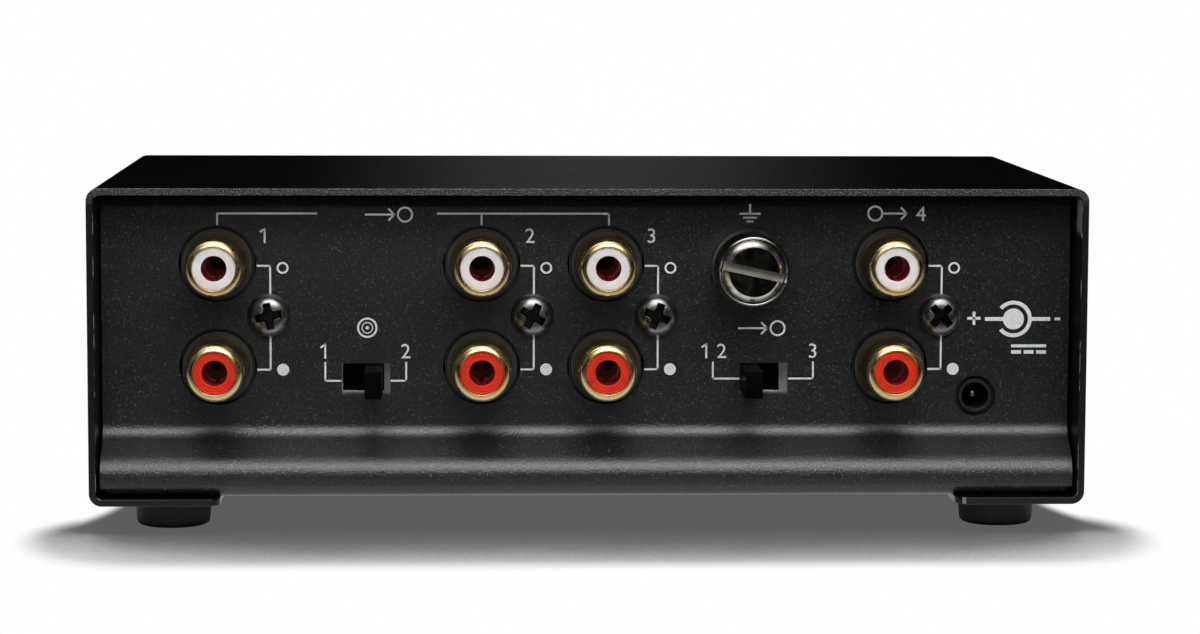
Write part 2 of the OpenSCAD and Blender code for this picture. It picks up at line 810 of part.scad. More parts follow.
// Plated tube with a rolled lip at the front and a flange held in the housing
module jack_shell(x, z) {
    lip = [for (a = [0 : 15 : 180]) [lip_axis_r + lip_r * cos(a), lip_y - lip_r * sin(a)]];
    inner_r = shell_r - shell_wall;
    color("#c9a14a")
    into_panel(x, z)
        rotate_extrude($fn = 72)
            polygon(concat(
                [[inner_r, shell_rear], [shell_flange_r, shell_rear]],
                [[shell_flange_r, shell_rear - shell_flange_t]],
                [[shell_seat_r, shell_rear - shell_flange_t], [shell_seat_r, shell_seat_y]],
                [[shell_r, shell_seat_y]],
                lip,
                [[insert_d / 2, lip_y + lip_back], [inner_r, lip_y + lip_back]]
            ));
}

// Insulator inside a shell: a plain face with the hole for the plug's pin
module jack_insert(x, z, finish) {
    face_r = insert_d / 2 - seat;
    hole_r = plug_pin_d / 2;
    chamfer = 0.2;
    color(finish)
    into_panel(x, z)
        rotate_extrude($fn = 72)
            polygon([
                [hole_r, insert_front + chamfer], [hole_r + chamfer, insert_front],
                [face_r - chamfer, insert_front], [face_r, insert_front + chamfer],
                [face_r, lip_y + lip_back + seat], [insert_r, lip_y + lip_back + seat],
                [insert_r, insert_rear], [socket_r + seat, insert_rear],
                [socket_r + seat, socket_front], [hole_r, socket_front],
            ]);
}

// Slit spring socket behind each insert's hole, with a tail that runs down through the board
module jack_contacts(x) {
    color("#b9b6a8")
    for (part = [[right_z, lower_tail_y], [left_z, upper_tail_y]]) {
        z = part[0];
        low = z - socket_r + 0.1;
        path = [[socket_rear - 2, low], [part[1], low], [part[1], pin_z]];
        difference() {
            union() {
                rod(x, z, socket_r, socket_front + seat, socket_rear);
                translate([x, panel_y, 0])
                    across(tail_w)
                        polygon(folded(path, tail_t, 0.3));
            }
            rod(x, z, socket_bore_d / 2, socket_front - cut, socket_rear);
            block(x, socket_slit_w, socket_front - cut, socket_rear - socket_root,
                z - socket_r - cut, z + socket_r + cut);
        }
    }
}

module coil_in_housing() { jack_housing(coil_in_x); }
module coil_in_left_shell() { jack_shell(coil_in_x, left_z); }
module coil_in_right_shell() { jack_shell(coil_in_x, right_z); }
module coil_in_left_insert() { jack_insert(coil_in_x, left_z, "#e6e3df"); }
module coil_in_right_insert() { jack_insert(coil_in_x, right_z, "#d8341a"); }
module coil_in_contacts() { jack_contacts(coil_in_x); }

module magnet_in_housing() { jack_housing(magnet_in_x); }
module magnet_in_left_shell() { jack_shell(magnet_in_x, left_z); }
module magnet_in_right_shell() { jack_shell(magnet_in_x, right_z); }
module magnet_in_left_insert() { jack_insert(magnet_in_x, left_z, "#e6e3df"); }
module magnet_in_right_insert() { jack_insert(magnet_in_x, right_z, "#d8341a"); }
module magnet_in_contacts() { jack_contacts(magnet_in_x); }

module line_in_housing() { jack_housing(line_in_x); }
module line_in_left_shell() { jack_shell(line_in_x, left_z); }
module line_in_right_shell() { jack_shell(line_in_x, right_z); }
module line_in_left_insert() { jack_insert(line_in_x, left_z, "#e6e3df"); }
module line_in_right_insert() { jack_insert(line_in_x, right_z, "#d8341a"); }
module line_in_contacts() { jack_contacts(line_in_x); }

module line_out_housing() { jack_housing(line_out_x); }
module line_out_left_shell() { jack_shell(line_out_x, left_z); }
module line_out_right_shell() { jack_shell(line_out_x, right_z); }
module line_out_left_insert() { jack_insert(line_out_x, left_z, "#e6e3df"); }
module line_out_right_insert() { jack_insert(line_out_x, right_z, "#d8341a"); }
module line_out_contacts() { jack_contacts(line_out_x); }

// One beside each column, through the panel into the housing's ear
module jack_screws() {
    color("#5d5a58")
    for (i = [0 : len(jack_xs) - 1])
        into_panel(jack_xs[i] + ear_x, ear_z)
            rotate(jack_screw_angles[i])
                pan_screw(screw_d, head_d, head_h, sheet_t + pilot_depth - 0.5);
}

// Knurled head with a slotted boss inside a raised ring, on a threaded shank
module earth_thumb_screw() {
    r = thumb_d / 2;
    flat_r = thumb_flat_d / 2;
    boss_r = thumb_boss_d / 2;
    root_r = r - knurl_depth;
    ring_r = root_r - thumb_ring_w;
    bevel_end = -thumb_reach + boss_r - flat_r;
    rim = thumb_boss_h - thumb_reach;
    groove = rim + thumb_groove_d;
    shank_d = thumb_thread_d - 2 * thread_gap;
    ridge = 360 / knurl_count;
    color("#b4b2ae")
    into_panel(earth_x, earth_z)
        difference() {
            union() {
                intersection() {
                    translate([0, 0, rim - cut])
                        linear_extrude(thumb_back - rim + cut)
                            polygon([for (i = [0 : knurl_count - 1], half = [0, 1])
                                (r - knurl_depth * half) * unit(ridge * (i + half / 2))]);
                    rotate_extrude($fn = 72)
                        polygon([
                            [0, groove], [ring_r, groove], [ring_r, rim], [root_r, rim],
                            [r, rim + knurl_depth], [r, thumb_back - knurl_depth],
                            [root_r, thumb_back], [0, thumb_back],
                        ]);
                }
                rotate_extrude($fn = 72)
                    polygon([
                        [0, -thumb_reach], [flat_r, -thumb_reach], [boss_r, bevel_end],
                        [boss_r, groove + knurl_depth], [0, groove + knurl_depth],
                    ]);
                translate([0, 0, thumb_back - cut])
                    cylinder(d = shank_d, h = thumb_tip - thumb_back + cut);
            }
            rotate(thumb_slot_angle)
                translate([-boss_r, -thumb_slot_w / 2, -thumb_reach - cut])
                    cube([2 * boss_r, thumb_slot_w, thumb_slot_d + cut]);
        }
}

module earth_washer() {
    color("#b4b2ae")
    into_panel(earth_x, earth_z)
        difference() {
            translate([0, 0, -washer_gap - washer_t])
                cylinder(d = washer_d, h = washer_t);
            translate([0, 0, -washer_gap - washer_t - cut])
                cylinder(d = thumb_thread_d + 0.2, h = washer_t + 2 * cut);
        }
}

module earth_nut() {
    color("#b4b2ae")
    into_panel(earth_x, earth_z)
        translate([0, 0, sheet_t + lug_t])
            difference() {
                cylinder(d = nut_w / cos(30), h = nut_t, $fn = 6);
                translate([0, 0, -cut])
                    cylinder(d = thumb_thread_d, h = nut_t + 2 * cut);
            }
}

// Flat strap from the earth terminal, across and down to a foot on the board
module earth_lug() {
    back = sheet_t + lug_t;
    color("#b9b6a8")
    difference() {
        union() {
            rod(earth_x, earth_z, lug_r, sheet_t, back);
            block((earth_x + lug_leg_x) / 2, earth_x - lug_leg_x, sheet_t, back,
                earth_z - lug_leg_w / 2, earth_z + lug_leg_w / 2);
            block(lug_leg_x, lug_leg_w, sheet_t, back, board_top, earth_z);
            rod(lug_leg_x, earth_z, lug_leg_w / 2, sheet_t, back);
            block(lug_leg_x, lug_leg_w, sheet_t, sheet_t + lug_foot, board_top, board_top + lug_t);
        }
        rod(earth_x, earth_z, thumb_thread_d / 2 + thread_hole_gap, sheet_t - cut, back + cut);
    }
}

// Folded channel around the slider, with the window for the knob and two legs to the board
module switch_frame(x) {
    low = switch_z - frame_h / 2;
    high = switch_z + frame_h / 2;
    path = [[base_back, high], [frame_set, high], [frame_set, low], [base_front - 0.1, low]];
    color("#a9a9ab")
    difference() {
        union() {
            translate([x, panel_y, 0])
                across(frame_w)
                    polygon(folded(path, frame_t, 0.2));
            for (side = [-1, 1])
                block(x + side * (frame_w - leg_w) / 2, leg_w, leg_y, leg_y + frame_t,
                    pin_z, low + frame_t / 2);
        }
        block(x, window_w, frame_set - cut, plate_back + slide_gap / 2,
            switch_z - window_h / 2, switch_z + window_h / 2);
    }
}

// Insulating plate that closes the frame, stands on the board and carries the terminals
module switch_base(x) {
    color("#6b4a2c")
    difference() {
        block(x, frame_w - 0.4, base_front, base_back, board_top,
            switch_z + frame_h / 2 - frame_t);
        for (column = [-1, 0, 1], row = [-1, 1])
            rod(x + column * terminal_pitch, switch_z + row * terminal_rows / 2,
                terminal_r + seat, base_front - cut, base_back + cut);
    }
}

// Six riveted terminals with tails that run down through the board
module switch_terminals(x) {
    rivet_r = 0.7;
    color("#b9b6a8")
    for (column = [-1, 0, 1], part = [[-1, first_tail], [1, second_tail]]) {
        tail_x = x + column * terminal_pitch;
        z = switch_z + part[0] * terminal_rows / 2;
        path = [[base_back, z - frame_t / 2], [part[1], z - frame_t / 2], [part[1], pin_z]];
        rod(tail_x, z, rivet_r, terminal_front, base_front);
        rod(tail_x, z, terminal_r, base_front - rivet_h / 2, base_back + frame_t);
        translate([tail_x, panel_y, 0])
            across(tail_w)
                polygon(folded(path, frame_t, 0.2));
    }
}

// Knob and carrier in one moulding: side is where the knob rests, -1 left or 1 right
module switch_slider(x, side) {
    rest_x = x + side * travel / 2;
    rib = knob_w / 9;
    color("#131314")
    difference() {
        union() {
            block(rest_x, carrier_w, carrier_front, carrier_back,
                switch_z - carrier_h / 2, switch_z + carrier_h / 2);
            block(rest_x, knob_w, -knob_reach, carrier_front + cut,
                switch_z - knob_h / 2, switch_z + knob_h / 2);
        }
        for (i = [-3 : 2 : 3])
            block(rest_x + i * rib, rib, -knob_reach - cut, rib - knob_reach,
                switch_z - knob_h, switch_z + knob_h);
        for (row = [-1, 1])
            block(rest_x, bridge_l + 2 * seat, carrier_back - bridge_t, carrier_back + cut,
                switch_z + row * terminal_rows / 2 - bridge_w / 2 - seat,
                switch_z + row * terminal_rows / 2 + bridge_w / 2 + seat);
    }
}

// Two contact strips in the slider's back, each dimpled where it meets the terminals
module switch_bridges(x, side) {
    rest_x = x + side * travel / 2;
    color("#b9b6a8")
    for (row = [-1, 1]) {
        z = switch_z + row * terminal_rows / 2;
        block(rest_x, bridge_l, carrier_back - bridge_t, carrier_back, z - bridge_w / 2, z + bridge_w / 2);
        for (end = [-1, 1])
            rod(rest_x + end * terminal_pitch / 2, z, bridge_w / 2 - 0.1,
                carrier_back - bridge_t, carrier_back + dimple_h);
    }
}

module cartridge_switch_frame() { switch_frame(cartridge_switch_x); }
module cartridge_switch_base() { switch_base(cartridge_switch_x); }
module cartridge_switch_terminals() { switch_terminals(cartridge_switch_x); }
module cartridge_switch_slider() { switch_slider(cartridge_switch_x, 1); }
module cartridge_switch_bridges() { switch_bridges(cartridge_switch_x, 1); }

module source_switch_frame() { switch_frame(source_switch_x); }
module source_switch_base() { switch_base(source_switch_x); }
module source_switch_terminals() { switch_terminals(source_switch_x); }
module source_switch_slider() { switch_slider(source_switch_x, -1); }
module source_switch_bridges() { switch_bridges(source_switch_x, -1); }

// Radius of the centre pin where it is held in the inlet's body
power_pin_seat_r = power_pin_d / 2 + 0.25;

// Moulded block with a short nose in the panel's hole
module power_inlet_body() {
    back = sheet_t + power_body_d;
    top = power_z + power_body_w / 2;
    color("#161618")
    difference() {
        union() {
            translate([power_x, panel_y, 0])
                across(power_body_w)
                    polygon([
                        [sheet_t, board_top], [back, board_top], [back, top - 1.5],
                        [back - 1.5, top], [sheet_t, top],
                    ]);
            rod(power_x, power_z, nose_d / 2, 0, sheet_t + cut);
        }
        rod(power_x, power_z, mouth_d / 2, -cut, mouth_depth);
        rod(power_x, power_z, power_pin_seat_r + seat, mouth_depth - cut, back + cut);
    }
}

// Round-nosed pin with a tail that runs down through the board
module power_inlet_pin() {
    r = power_pin_d / 2;
    back = sheet_t + power_body_d;
    tip = arc([0, power_pin_set + r], r, -90, 0, 6);
    path = [[back, power_z + power_pin_seat_r], [back, pin_z]];
    color("#a9a9ab")
    union() {
        into_panel(power_x, power_z)
            rotate_extrude()
                polygon(concat(tip, [
                    [r, mouth_depth], [power_pin_seat_r, mouth_depth],
                    [power_pin_seat_r, back + tail_t / 2], [0, back + tail_t / 2],
                ]));
        translate([power_x, panel_y, 0])
            across(tail_w)
                polygon(folded(path, tail_t, 0.3));
    }
}

// Rows of components, counted from the board's middle and placed from its rear edge
chip_y = 25;
film_y = 40;
can_y = 52;
resistor_ys = [17.5, 33];

module in_row(count, pitch, y) {
    for (i = [0 : count - 1])
        translate([(i - (count - 1) / 2) * pitch, board_rear + y, board_top])
            children();
}

// Eight-legged chips with a notch at one end
module amplifier_chips() {
    body_z = 0.6;
    body_h = 3.3;
    leg_pitch = 2.54;
    leg_t = 0.3;
    color("#1b1b1d")
    in_row(chip_count, 2 * component_pitch, chip_y) {
        difference() {
            translate([-chip_l / 2, -chip_w / 2, body_z])
                cube([chip_l, chip_w, body_h]);
            translate([-chip_l / 2, 0, body_z + body_h - 0.6])
                cylinder(r = 0.9, h = cut);
        }
        for (i = [-1.5 : 1.5], side = [-1, 1])
            translate([i * leg_pitch, side * (chip_w / 2 + leg_t / 2), 0])
                translate([-0.3, -leg_t / 2 - 0.05, 0])
                    cube([0.6, leg_t + 0.1, body_z + body_h / 2]);
    }
}

// Cans with a rolled groove near the board
module electrolytic_capacitors() {
    r = can_d / 2;
    groove = 0.35;
    color("#2a3550")
    in_row(can_count, component_pitch, can_y)
        rotate_extrude()
            polygon(concat(
                [[0, 0], [r - 0.2, 0], [r, 0.2], [r, 1.2], [r - groove, 1.6], [r, 2]],
                arc([r - 0.5, can_h - 0.5], 0.5, 0, 90, 4),
                [[r - 1, can_h - 0.2], [0, can_h - 0.2]]
            ));
}

// Box capacitors with their lower edges clear of the board on two feet
module film_capacitors() {
    w = 4.5;
    h = 7;
    color("#a8262a")
    in_row(film_count, component_pitch, film_y)
        difference() {
            translate([-film_l / 2, -w / 2, 0])
                cube([film_l, w, h]);
            translate([0.8 - film_l / 2, -w, -cut])
                cube([film_l - 1.6, 2 * w, cut + 0.3]);
        }
}

// Axial resistors lying along the board, on bent leads
module resistors() {
    r = 1.1;
    cap_r = 1.3;
    cap_l = 1.4;
    lead_r = 0.3;
    axis_z = cap_r + 0.3;
    reach_x = resistor_l / 2 + 1.6;
    color("#c8b48a")
    for (y = resistor_ys)
        in_row(resistor_count, resistor_pitch, y)
            union() {
                translate([-resistor_l / 2, 0, axis_z])
                    rotate([0, 90, 0])
                        cylinder(r = r, h = resistor_l, $fn = 24);
                for (side = [-1, 1])
                    translate([side * (resistor_l - cap_l) / 2 - cap_l / 2, 0, axis_z])
                        rotate([0, 90, 0])
                            cylinder(r = cap_r, h = cap_l, $fn = 24);
                translate([-reach_x - lead_r, 0, axis_z])
                    rotate([0, 90, 0])
                        cylinder(r = lead_r, h = 2 * (reach_x + lead_r), $fn = 16);
                for (side = [-1, 1])
                    translate([side * reach_x, 0, 0])
                        cylinder(r = lead_r, h = axis_z, $fn = 16);
            }
}

cover();
chassis_tray();
front_fascia();
fascia_screws();
indicator_lens();
indicator_led();
rear_left_foot();
rear_right_foot();
front_left_foot();
front_right_foot();
foot_screws();
main_board();
board_standoffs();
board_screws();
coil_in_housing();
coil_in_left_shell();
coil_in_right_shell();
coil_in_left_insert();
coil_in_right_insert();
coil_in_contacts();
magnet_in_housing();
magnet_in_left_shell();
magnet_in_right_shell();
magnet_in_left_insert();
magnet_in_right_insert();
magnet_in_contacts();
line_in_housing();
line_in_left_shell();
line_in_right_shell();
line_in_left_insert();
line_in_right_insert();
line_in_contacts();
line_out_housing();
line_out_left_shell();
line_out_right_shell();
line_out_left_insert();
line_out_right_insert();
line_out_contacts();
jack_screws();
earth_thumb_screw();
earth_washer();
earth_nut();
earth_lug();
cartridge_switch_frame();
cartridge_switch_base();
cartridge_switch_terminals();
cartridge_switch_slider();
cartridge_switch_bridges();
source_switch_frame();
source_switch_base();
source_switch_terminals();
source_switch_slider();
source_switch_bridges();
power_inlet_body();
power_inlet_pin();
amplifier_chips();
electrolytic_capacitors();
film_capacitors();
resistors();
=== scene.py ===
import math

import bmesh
import bpy
from mathutils import Matrix, Vector


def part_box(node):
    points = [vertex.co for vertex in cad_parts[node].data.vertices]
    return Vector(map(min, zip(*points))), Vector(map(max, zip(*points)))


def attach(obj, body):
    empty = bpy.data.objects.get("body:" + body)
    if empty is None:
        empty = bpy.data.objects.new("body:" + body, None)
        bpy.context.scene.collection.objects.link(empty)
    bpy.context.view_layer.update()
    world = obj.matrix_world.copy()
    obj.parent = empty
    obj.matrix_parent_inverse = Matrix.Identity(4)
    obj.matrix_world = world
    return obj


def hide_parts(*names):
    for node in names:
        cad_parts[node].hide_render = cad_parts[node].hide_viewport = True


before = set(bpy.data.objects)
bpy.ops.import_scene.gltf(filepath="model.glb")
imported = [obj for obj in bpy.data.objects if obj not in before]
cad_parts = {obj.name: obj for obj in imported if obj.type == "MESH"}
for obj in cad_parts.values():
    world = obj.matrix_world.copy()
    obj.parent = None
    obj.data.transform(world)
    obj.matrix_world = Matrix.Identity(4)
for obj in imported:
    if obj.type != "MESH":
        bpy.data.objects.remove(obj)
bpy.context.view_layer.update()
scene = bpy.context.scene
mm = 0.001

# ---------------------------------------------------------------- Camera
# A long lens looks slightly down on the connector side, from a little left of the case's
# middle. The focal length and the image's width are in pixels.
camera_place = Vector((-19.5, -527.3, 81.3)) * mm
camera_turn = math.radians(-2.45)
camera_tilt = math.radians(-5.92)
camera_roll = math.radians(0.22)
film_width = 36
image_width_px = 1200
focal_length_px = 3514

lens = bpy.data.cameras.new("camera")
lens.sensor_width = film_width
lens.lens = film_width * focal_length_px / image_width_px
lens.clip_start = 0.01
lens.clip_end = 20
camera = bpy.data.objects.new("camera", lens)
camera.matrix_world = (
    Matrix.Translation(camera_place)
    @ Matrix.Rotation(camera_turn, 4, "Z")
    @ Matrix.Rotation(math.pi / 2 + camera_tilt, 4, "X")
    @ Matrix.Rotation(camera_roll, 4, "Z")
)
scene.collection.objects.link(camera)
scene.camera = camera
scene.view_settings.view_transform = "Standard"

# ---------------------------------------------------------------- Room, floor and lamps
# A white room with a white floor. A softbox hangs over the front of the case and a weaker one
# above it. Black cards that only reflections show keep the metal and the paint dark.
room_fill = 0.3
floor_size = 14.0
floor_shade = 0.86
shadow_reach = 46 * mm
shadow_stops = ((0.3, 0.0), (0.62, 0.02), (0.75, 0.14), (0.9, 0.56), (1.0, 1.0))
shadow_lift = 0.108
# The edges of the pool of shadow, from the middle of the case's place on the floor. It fades
# out from there, sooner at its sides, and sooner still behind its front corners.
pool_half_width, pool_front, pool_back = 62 * mm, -42 * mm, 22 * mm
pool_fade_from, pool_fade_to = 18 * mm, 28.5 * mm
pool_side_squeeze = 1.5
pool_taper, pool_taper_width = 1.2, 10 * mm


def reckon(tree, operation, *terms):
    """One step of arithmetic on plain numbers or on the outputs of other nodes."""
    step = tree.nodes.new("ShaderNodeMath")
    step.operation = operation
    for term, socket in zip(terms, step.inputs):
        if isinstance(term, (int, float)):
            socket.default_value = term
        else:
            tree.links.new(term, socket)
    return step.outputs[0]


def beyond(tree, value, limit):
    """How far a value is past a limit, and 0 before it."""
    return reckon(tree, "MAXIMUM", reckon(tree, "SUBTRACT", value, limit), 0)


def rescale(tree, value, limits, results=(0, 1), smooth=False):
    """Turns a value between one pair of limits into one between another pair."""
    scale = tree.nodes.new("ShaderNodeMapRange")
    if smooth:
        scale.interpolation_type = "SMOOTHSTEP"
    for socket, limit in zip(("From Min", "From Max", "To Min", "To Max"), (*limits, *results)):
        scale.inputs[socket].default_value = limit
    tree.links.new(value, scale.inputs["Value"])
    return scale.outputs["Result"]


def position(tree):
    """The X, Y and Z of a point, in the piece's own coordinates."""
    place = tree.nodes.new("ShaderNodeTexCoord")
    spot = tree.nodes.new("ShaderNodeSeparateXYZ")
    tree.links.new(place.outputs["Object"], spot.inputs["Vector"])
    return spot.outputs


def ramp(tree, value, stops):
    """A colour for each value, blended between the stops: pairs of a value and a colour."""
    band = tree.nodes.new("ShaderNodeValToRGB")
    stop = band.color_ramp.elements
    while len(stop) < len(stops):
        stop.new(0.5)
    for element, (place, colour) in zip(stop, stops):
        element.position = place
        element.color = (*colour, 1)
    tree.links.new(value, band.inputs["Fac"])
    return band.outputs["Color"]


def grey(shade):
    """A grey as a colour."""
    return (shade, shade, shade)


def looked_at(tree):
    """A factor of 1 where the camera, a reflection or a see-through piece looks straight at it."""
    path = tree.nodes.new("ShaderNodeLightPath")
    mirrored = reckon(tree, "MAXIMUM", path.outputs["Is Camera Ray"], path.outputs["Is Glossy Ray"])
    return reckon(tree, "MAXIMUM", mirrored, path.outputs["Is Transmission Ray"])


def cross_faded(tree, share, first, second):
    """Two shaders, blended by the share of the second."""
    blend = tree.nodes.new("ShaderNodeMixShader")
    for term, socket in zip((share, first, second), blend.inputs):
        tree.links.new(term, socket)
    return blend.outputs[0]


world = bpy.data.worlds.new("room")
world.use_nodes = True
tree = world.node_tree
fill_light = tree.nodes["Background"]
fill_light.inputs["Color"].default_value = (1, 1, 1, 1)
fill_light.inputs["Strength"].default_value = room_fill
walls = tree.nodes.new("ShaderNodeBackground")
walls.inputs["Strength"].default_value = 1
tree.links.new(cross_faded(tree, looked_at(tree), fill_light.outputs[0], walls.outputs[0]),
               tree.nodes["World Output"].inputs["Surface"])
scene.world = world

# The floor glows plain white, but for a pool around the case. There it is a matt sheet that
# keeps the case's shadow. A painted shadow darkens its colour where the case stands close over
# it, and a faint glow that only the camera sees lifts the shade.
floor_paint = bpy.data.materials.new("white_floor")
floor_paint.use_nodes = True
tree = floor_paint.node_tree
tree.nodes.clear()
closeness = tree.nodes.new("ShaderNodeAmbientOcclusion")
closeness.samples = 12
closeness.inputs["Distance"].default_value = shadow_reach
# Painted shadow: the floor's colour darkens as the case closes in over it
painted_shadow = ramp(tree, closeness.outputs["AO"],
             [(openness, grey(floor_shade * share)) for openness, share in shadow_stops])
ray = tree.nodes.new("ShaderNodeLightPath")
sheet_colour = tree.nodes.new("ShaderNodeMix")
sheet_colour.data_type = "RGBA"
sheet_colour.inputs["B"].default_value = (*grey(floor_shade), 1)
tree.links.new(ray.outputs["Is Glossy Ray"], sheet_colour.inputs["Factor"])
tree.links.new(painted_shadow, sheet_colour.inputs["A"])
matt = tree.nodes.new("ShaderNodeBsdfDiffuse")
tree.links.new(sheet_colour.outputs["Result"], matt.inputs["Color"])
lift = tree.nodes.new("ShaderNodeEmission")
tree.links.new(
    reckon(tree, "MULTIPLY", ray.outputs["Is Camera Ray"], shadow_lift), lift.inputs["Strength"])
sheet = tree.nodes.new("ShaderNodeAddShader")
tree.links.new(matt.outputs[0], sheet.inputs[0])
tree.links.new(lift.outputs[0], sheet.inputs[1])
spot = position(tree)
beside = beyond(tree, reckon(tree, "ABSOLUTE", spot["X"]), pool_half_width)
ahead_or_past = reckon(
    tree, "ADD", beyond(tree, pool_front, spot["Y"]), beyond(tree, spot["Y"], pool_back))
taper = reckon(
    tree, "MINIMUM", reckon(tree, "MULTIPLY", beside, pool_taper / pool_taper_width), pool_taper)
tapered = reckon(tree, "MULTIPLY", beyond(tree, spot["Y"], pool_front), taper)
along = reckon(tree, "ADD", ahead_or_past, tapered)
across = reckon(tree, "MULTIPLY", beside, pool_side_squeeze)
distance = reckon(tree, "SQRT", reckon(
    tree, "ADD", reckon(tree, "MULTIPLY", along, along), reckon(tree, "MULTIPLY", across, across)))
outside_pool = rescale(tree, distance, (pool_fade_from, pool_fade_to), smooth=True)
plain_white = tree.nodes.new("ShaderNodeEmission")
surface_output = tree.nodes.new("ShaderNodeOutputMaterial")
tree.links.new(
    cross_faded(tree, reckon(tree, "MULTIPLY", outside_pool, looked_at(tree)),
                sheet.outputs[0], plain_white.outputs[0]),
    surface_output.inputs["Surface"])


def mesh_of(name, shape):
    """The shape as a mesh. The shape itself is used up."""
    mesh = bpy.data.meshes.new(name)
    shape.to_mesh(mesh)
    shape.free()
    return mesh


def flat_sheet(name, width, height, material):
    """A piece of the room: a flat sheet about the origin."""
    shape = bmesh.new()
    bmesh.ops.create_grid(shape, x_segments=1, y_segments=1, size=0.5)
    bmesh.ops.scale(shape, vec=(width, height, 1), verts=shape.verts)
    sheet = bpy.data.objects.new(name, mesh_of(name, shape))
    sheet.data.materials.append(material)
    scene.collection.objects.link(sheet)
    return sheet


flat_sheet("floor", floor_size, floor_size, floor_paint)


def aim(thing, place, target):
    """Puts a lamp or a card at a place, facing a point."""
    thing.location = place
    thing.rotation_euler = (Vector(target) - Vector(place)).to_track_quat("-Z", "Y").to_euler()


def softbox(name, place, target, width, height, power):
    """A white rectangular lamp. Only the glowing cards below stand for it in reflections."""
    lamp = bpy.data.lights.new(name, "AREA")
    lamp.shape = "RECTANGLE"
    lamp.size = width
    lamp.size_y = height
    lamp.energy = power
    box = bpy.data.objects.new(name, lamp)
    aim(box, place, target)
    box.visible_camera = False
    box.visible_glossy = False
    scene.collection.objects.link(box)


softbox("front_softbox", (0.15, -0.8, 0.76), (0, -0.03, 0.03), 0.9, 0.27, 9.5)
softbox("top_softbox", (0.0, -0.1, 0.9), (0, -0.05, 0), 0.6, 0.5, 2.2)


def card(name, place, target, width, height, glow=0.0):
    """A card that only reflections show: black, or glowing towards its middle."""
    material = bpy.data.materials.new(name)
    material.use_nodes = True
    tree = material.node_tree
    tree.nodes.clear()
    light = tree.nodes.new("ShaderNodeEmission")
    light.inputs["Strength"].default_value = 0
    if glow:
        where = tree.nodes.new("ShaderNodeTexCoord")
        squeeze = tree.nodes.new("ShaderNodeVectorMath")
        squeeze.operation = "MULTIPLY"
        squeeze.inputs[1].default_value = (2 / width, 2 / height, 0)
        tree.links.new(where.outputs["Object"], squeeze.inputs[0])
        from_middle = tree.nodes.new("ShaderNodeVectorMath")
        from_middle.operation = "LENGTH"
        tree.links.new(squeeze.outputs["Vector"], from_middle.inputs[0])
        falloff = rescale(tree, from_middle.outputs["Value"], (0, 1), (glow, 0), smooth=True)
        tree.links.new(falloff, light.inputs["Strength"])
    surface_output = tree.nodes.new("ShaderNodeOutputMaterial")
    tree.links.new(light.outputs[0], surface_output.inputs["Surface"])
    sheet = flat_sheet(name, width, height, material)
    aim(sheet, place, target)
    sheet.visible_camera = False
    sheet.visible_diffuse = False
    sheet.visible_transmission = False
    sheet.visible_volume_scatter = False
    sheet.visible_shadow = False


card("card_front", (0, -1.3, 0.65), (0, 0, 0.65), 3.0, 1.3)
card("card_floor", (0, -0.678, 0.002), (0, -0.678, 0), 2.4, 1.243)
card("card_left", (-1.2, -0.1, 0.65), (0, -0.1, 0.65), 2.4, 1.3, glow=0.1)
card("card_right", (1.2, -0.1, 0.65), (0, -0.1, 0.65), 2.4, 1.3, glow=0.1)
card("card_back", (0, 1.02, 0.65), (0, 0, 0.65), 2.4, 1.3)
card("card_top", (0, -0.1, 1.3), (0, -0.1, 0), 2.6, 2.4)
card("glow_front", (0.05, -0.84, 0.82), (0.02, -0.03, 0.03), 1.7, 1.25, glow=6.0)
card("glow_top", (-0.2, -0.14, 0.96), (-0.2, -0.14, 0), 2.0, 0.4, glow=3.0)
card("glow_back", (0.044, 1.0, 0.2), (0.044, 0, 0.2), 0.27, 0.9, glow=0.13)
card("glow_floor", (-0.03, -0.41, 0.004), (-0.03, -0.41, 0), 0.15, 0.4, glow=2.6)
card("glow_near", (0, -0.02, 0.003), (0, -0.02, 0), 1.2, 0.165, glow=0.82)

# ---------------------------------------------------------------- Cover
# Sleeve of 1 mm steel sheet, folded over the top and the sides, with a flange turned under
# each side. Its black textured powder coat is worn along the rim's edges, and rubbed through
# in one place inside. Along the rim's top the paler colour is partly a painted highlight.


def merged_shape(node):
    """The node's own shape with its loose triangles joined and its flat faces made whole."""
    shape = bmesh.new()
    shape.from_mesh(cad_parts[node].data)
    bmesh.ops.remove_doubles(shape, verts=shape.verts, dist=0.001 * mm)
    bmesh.ops.dissolve_limit(
        shape, angle_limit=math.radians(0.5), verts=shape.verts, edges=shape.edges
    )
    return shape


def break_edges(shape, width, sharp=40, segments=2):
    """Rounds every edge sharper than an angle, as tumbling or paint rounds a real one."""
    sharp_edges = [e for e in shape.edges if e.calc_face_angle(0) > math.radians(sharp)]
    bmesh.ops.bevel(
        shape, geom=sharp_edges, offset=width, segments=segments, profile=0.5,
        affect="EDGES", clamp_overlap=True, material=-1,
    )


def shade_rounds(shape, sharp=35):
    """Smooth shading that breaks at edges sharper than an angle."""
    for face in shape.faces:
        face.smooth = True
    for edge in shape.edges:
        edge.smooth = edge.calc_face_angle(math.pi) < math.radians(sharp)


def fitted(name, shape, materials, body, slot, *nodes):
    """The finished piece: it rides on its body and stands for its nodes."""
    piece = bpy.data.objects.new(name, mesh_of(name, shape))
    for material in materials:
        piece.data.materials.append(material)
    scene.collection.objects.link(piece)
    weighted = piece.modifiers.new("flat_faces", "WEIGHTED_NORMAL")
    weighted.keep_sharp = True
    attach(piece, body)
    if nodes:
        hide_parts(*nodes)


def surface(name, roughness, metallic=0.0, specular=0.5):
    """A new material, its node tree and its main shader."""
    material = bpy.data.materials.new(name)
    material.use_nodes = True
    tree = material.node_tree
    shader = tree.nodes["Principled BSDF"]
    shader.inputs["Roughness"].default_value = roughness
    shader.inputs["Metallic"].default_value = metallic
    shader.inputs["Specular IOR Level"].default_value = specular
    return material, tree, shader


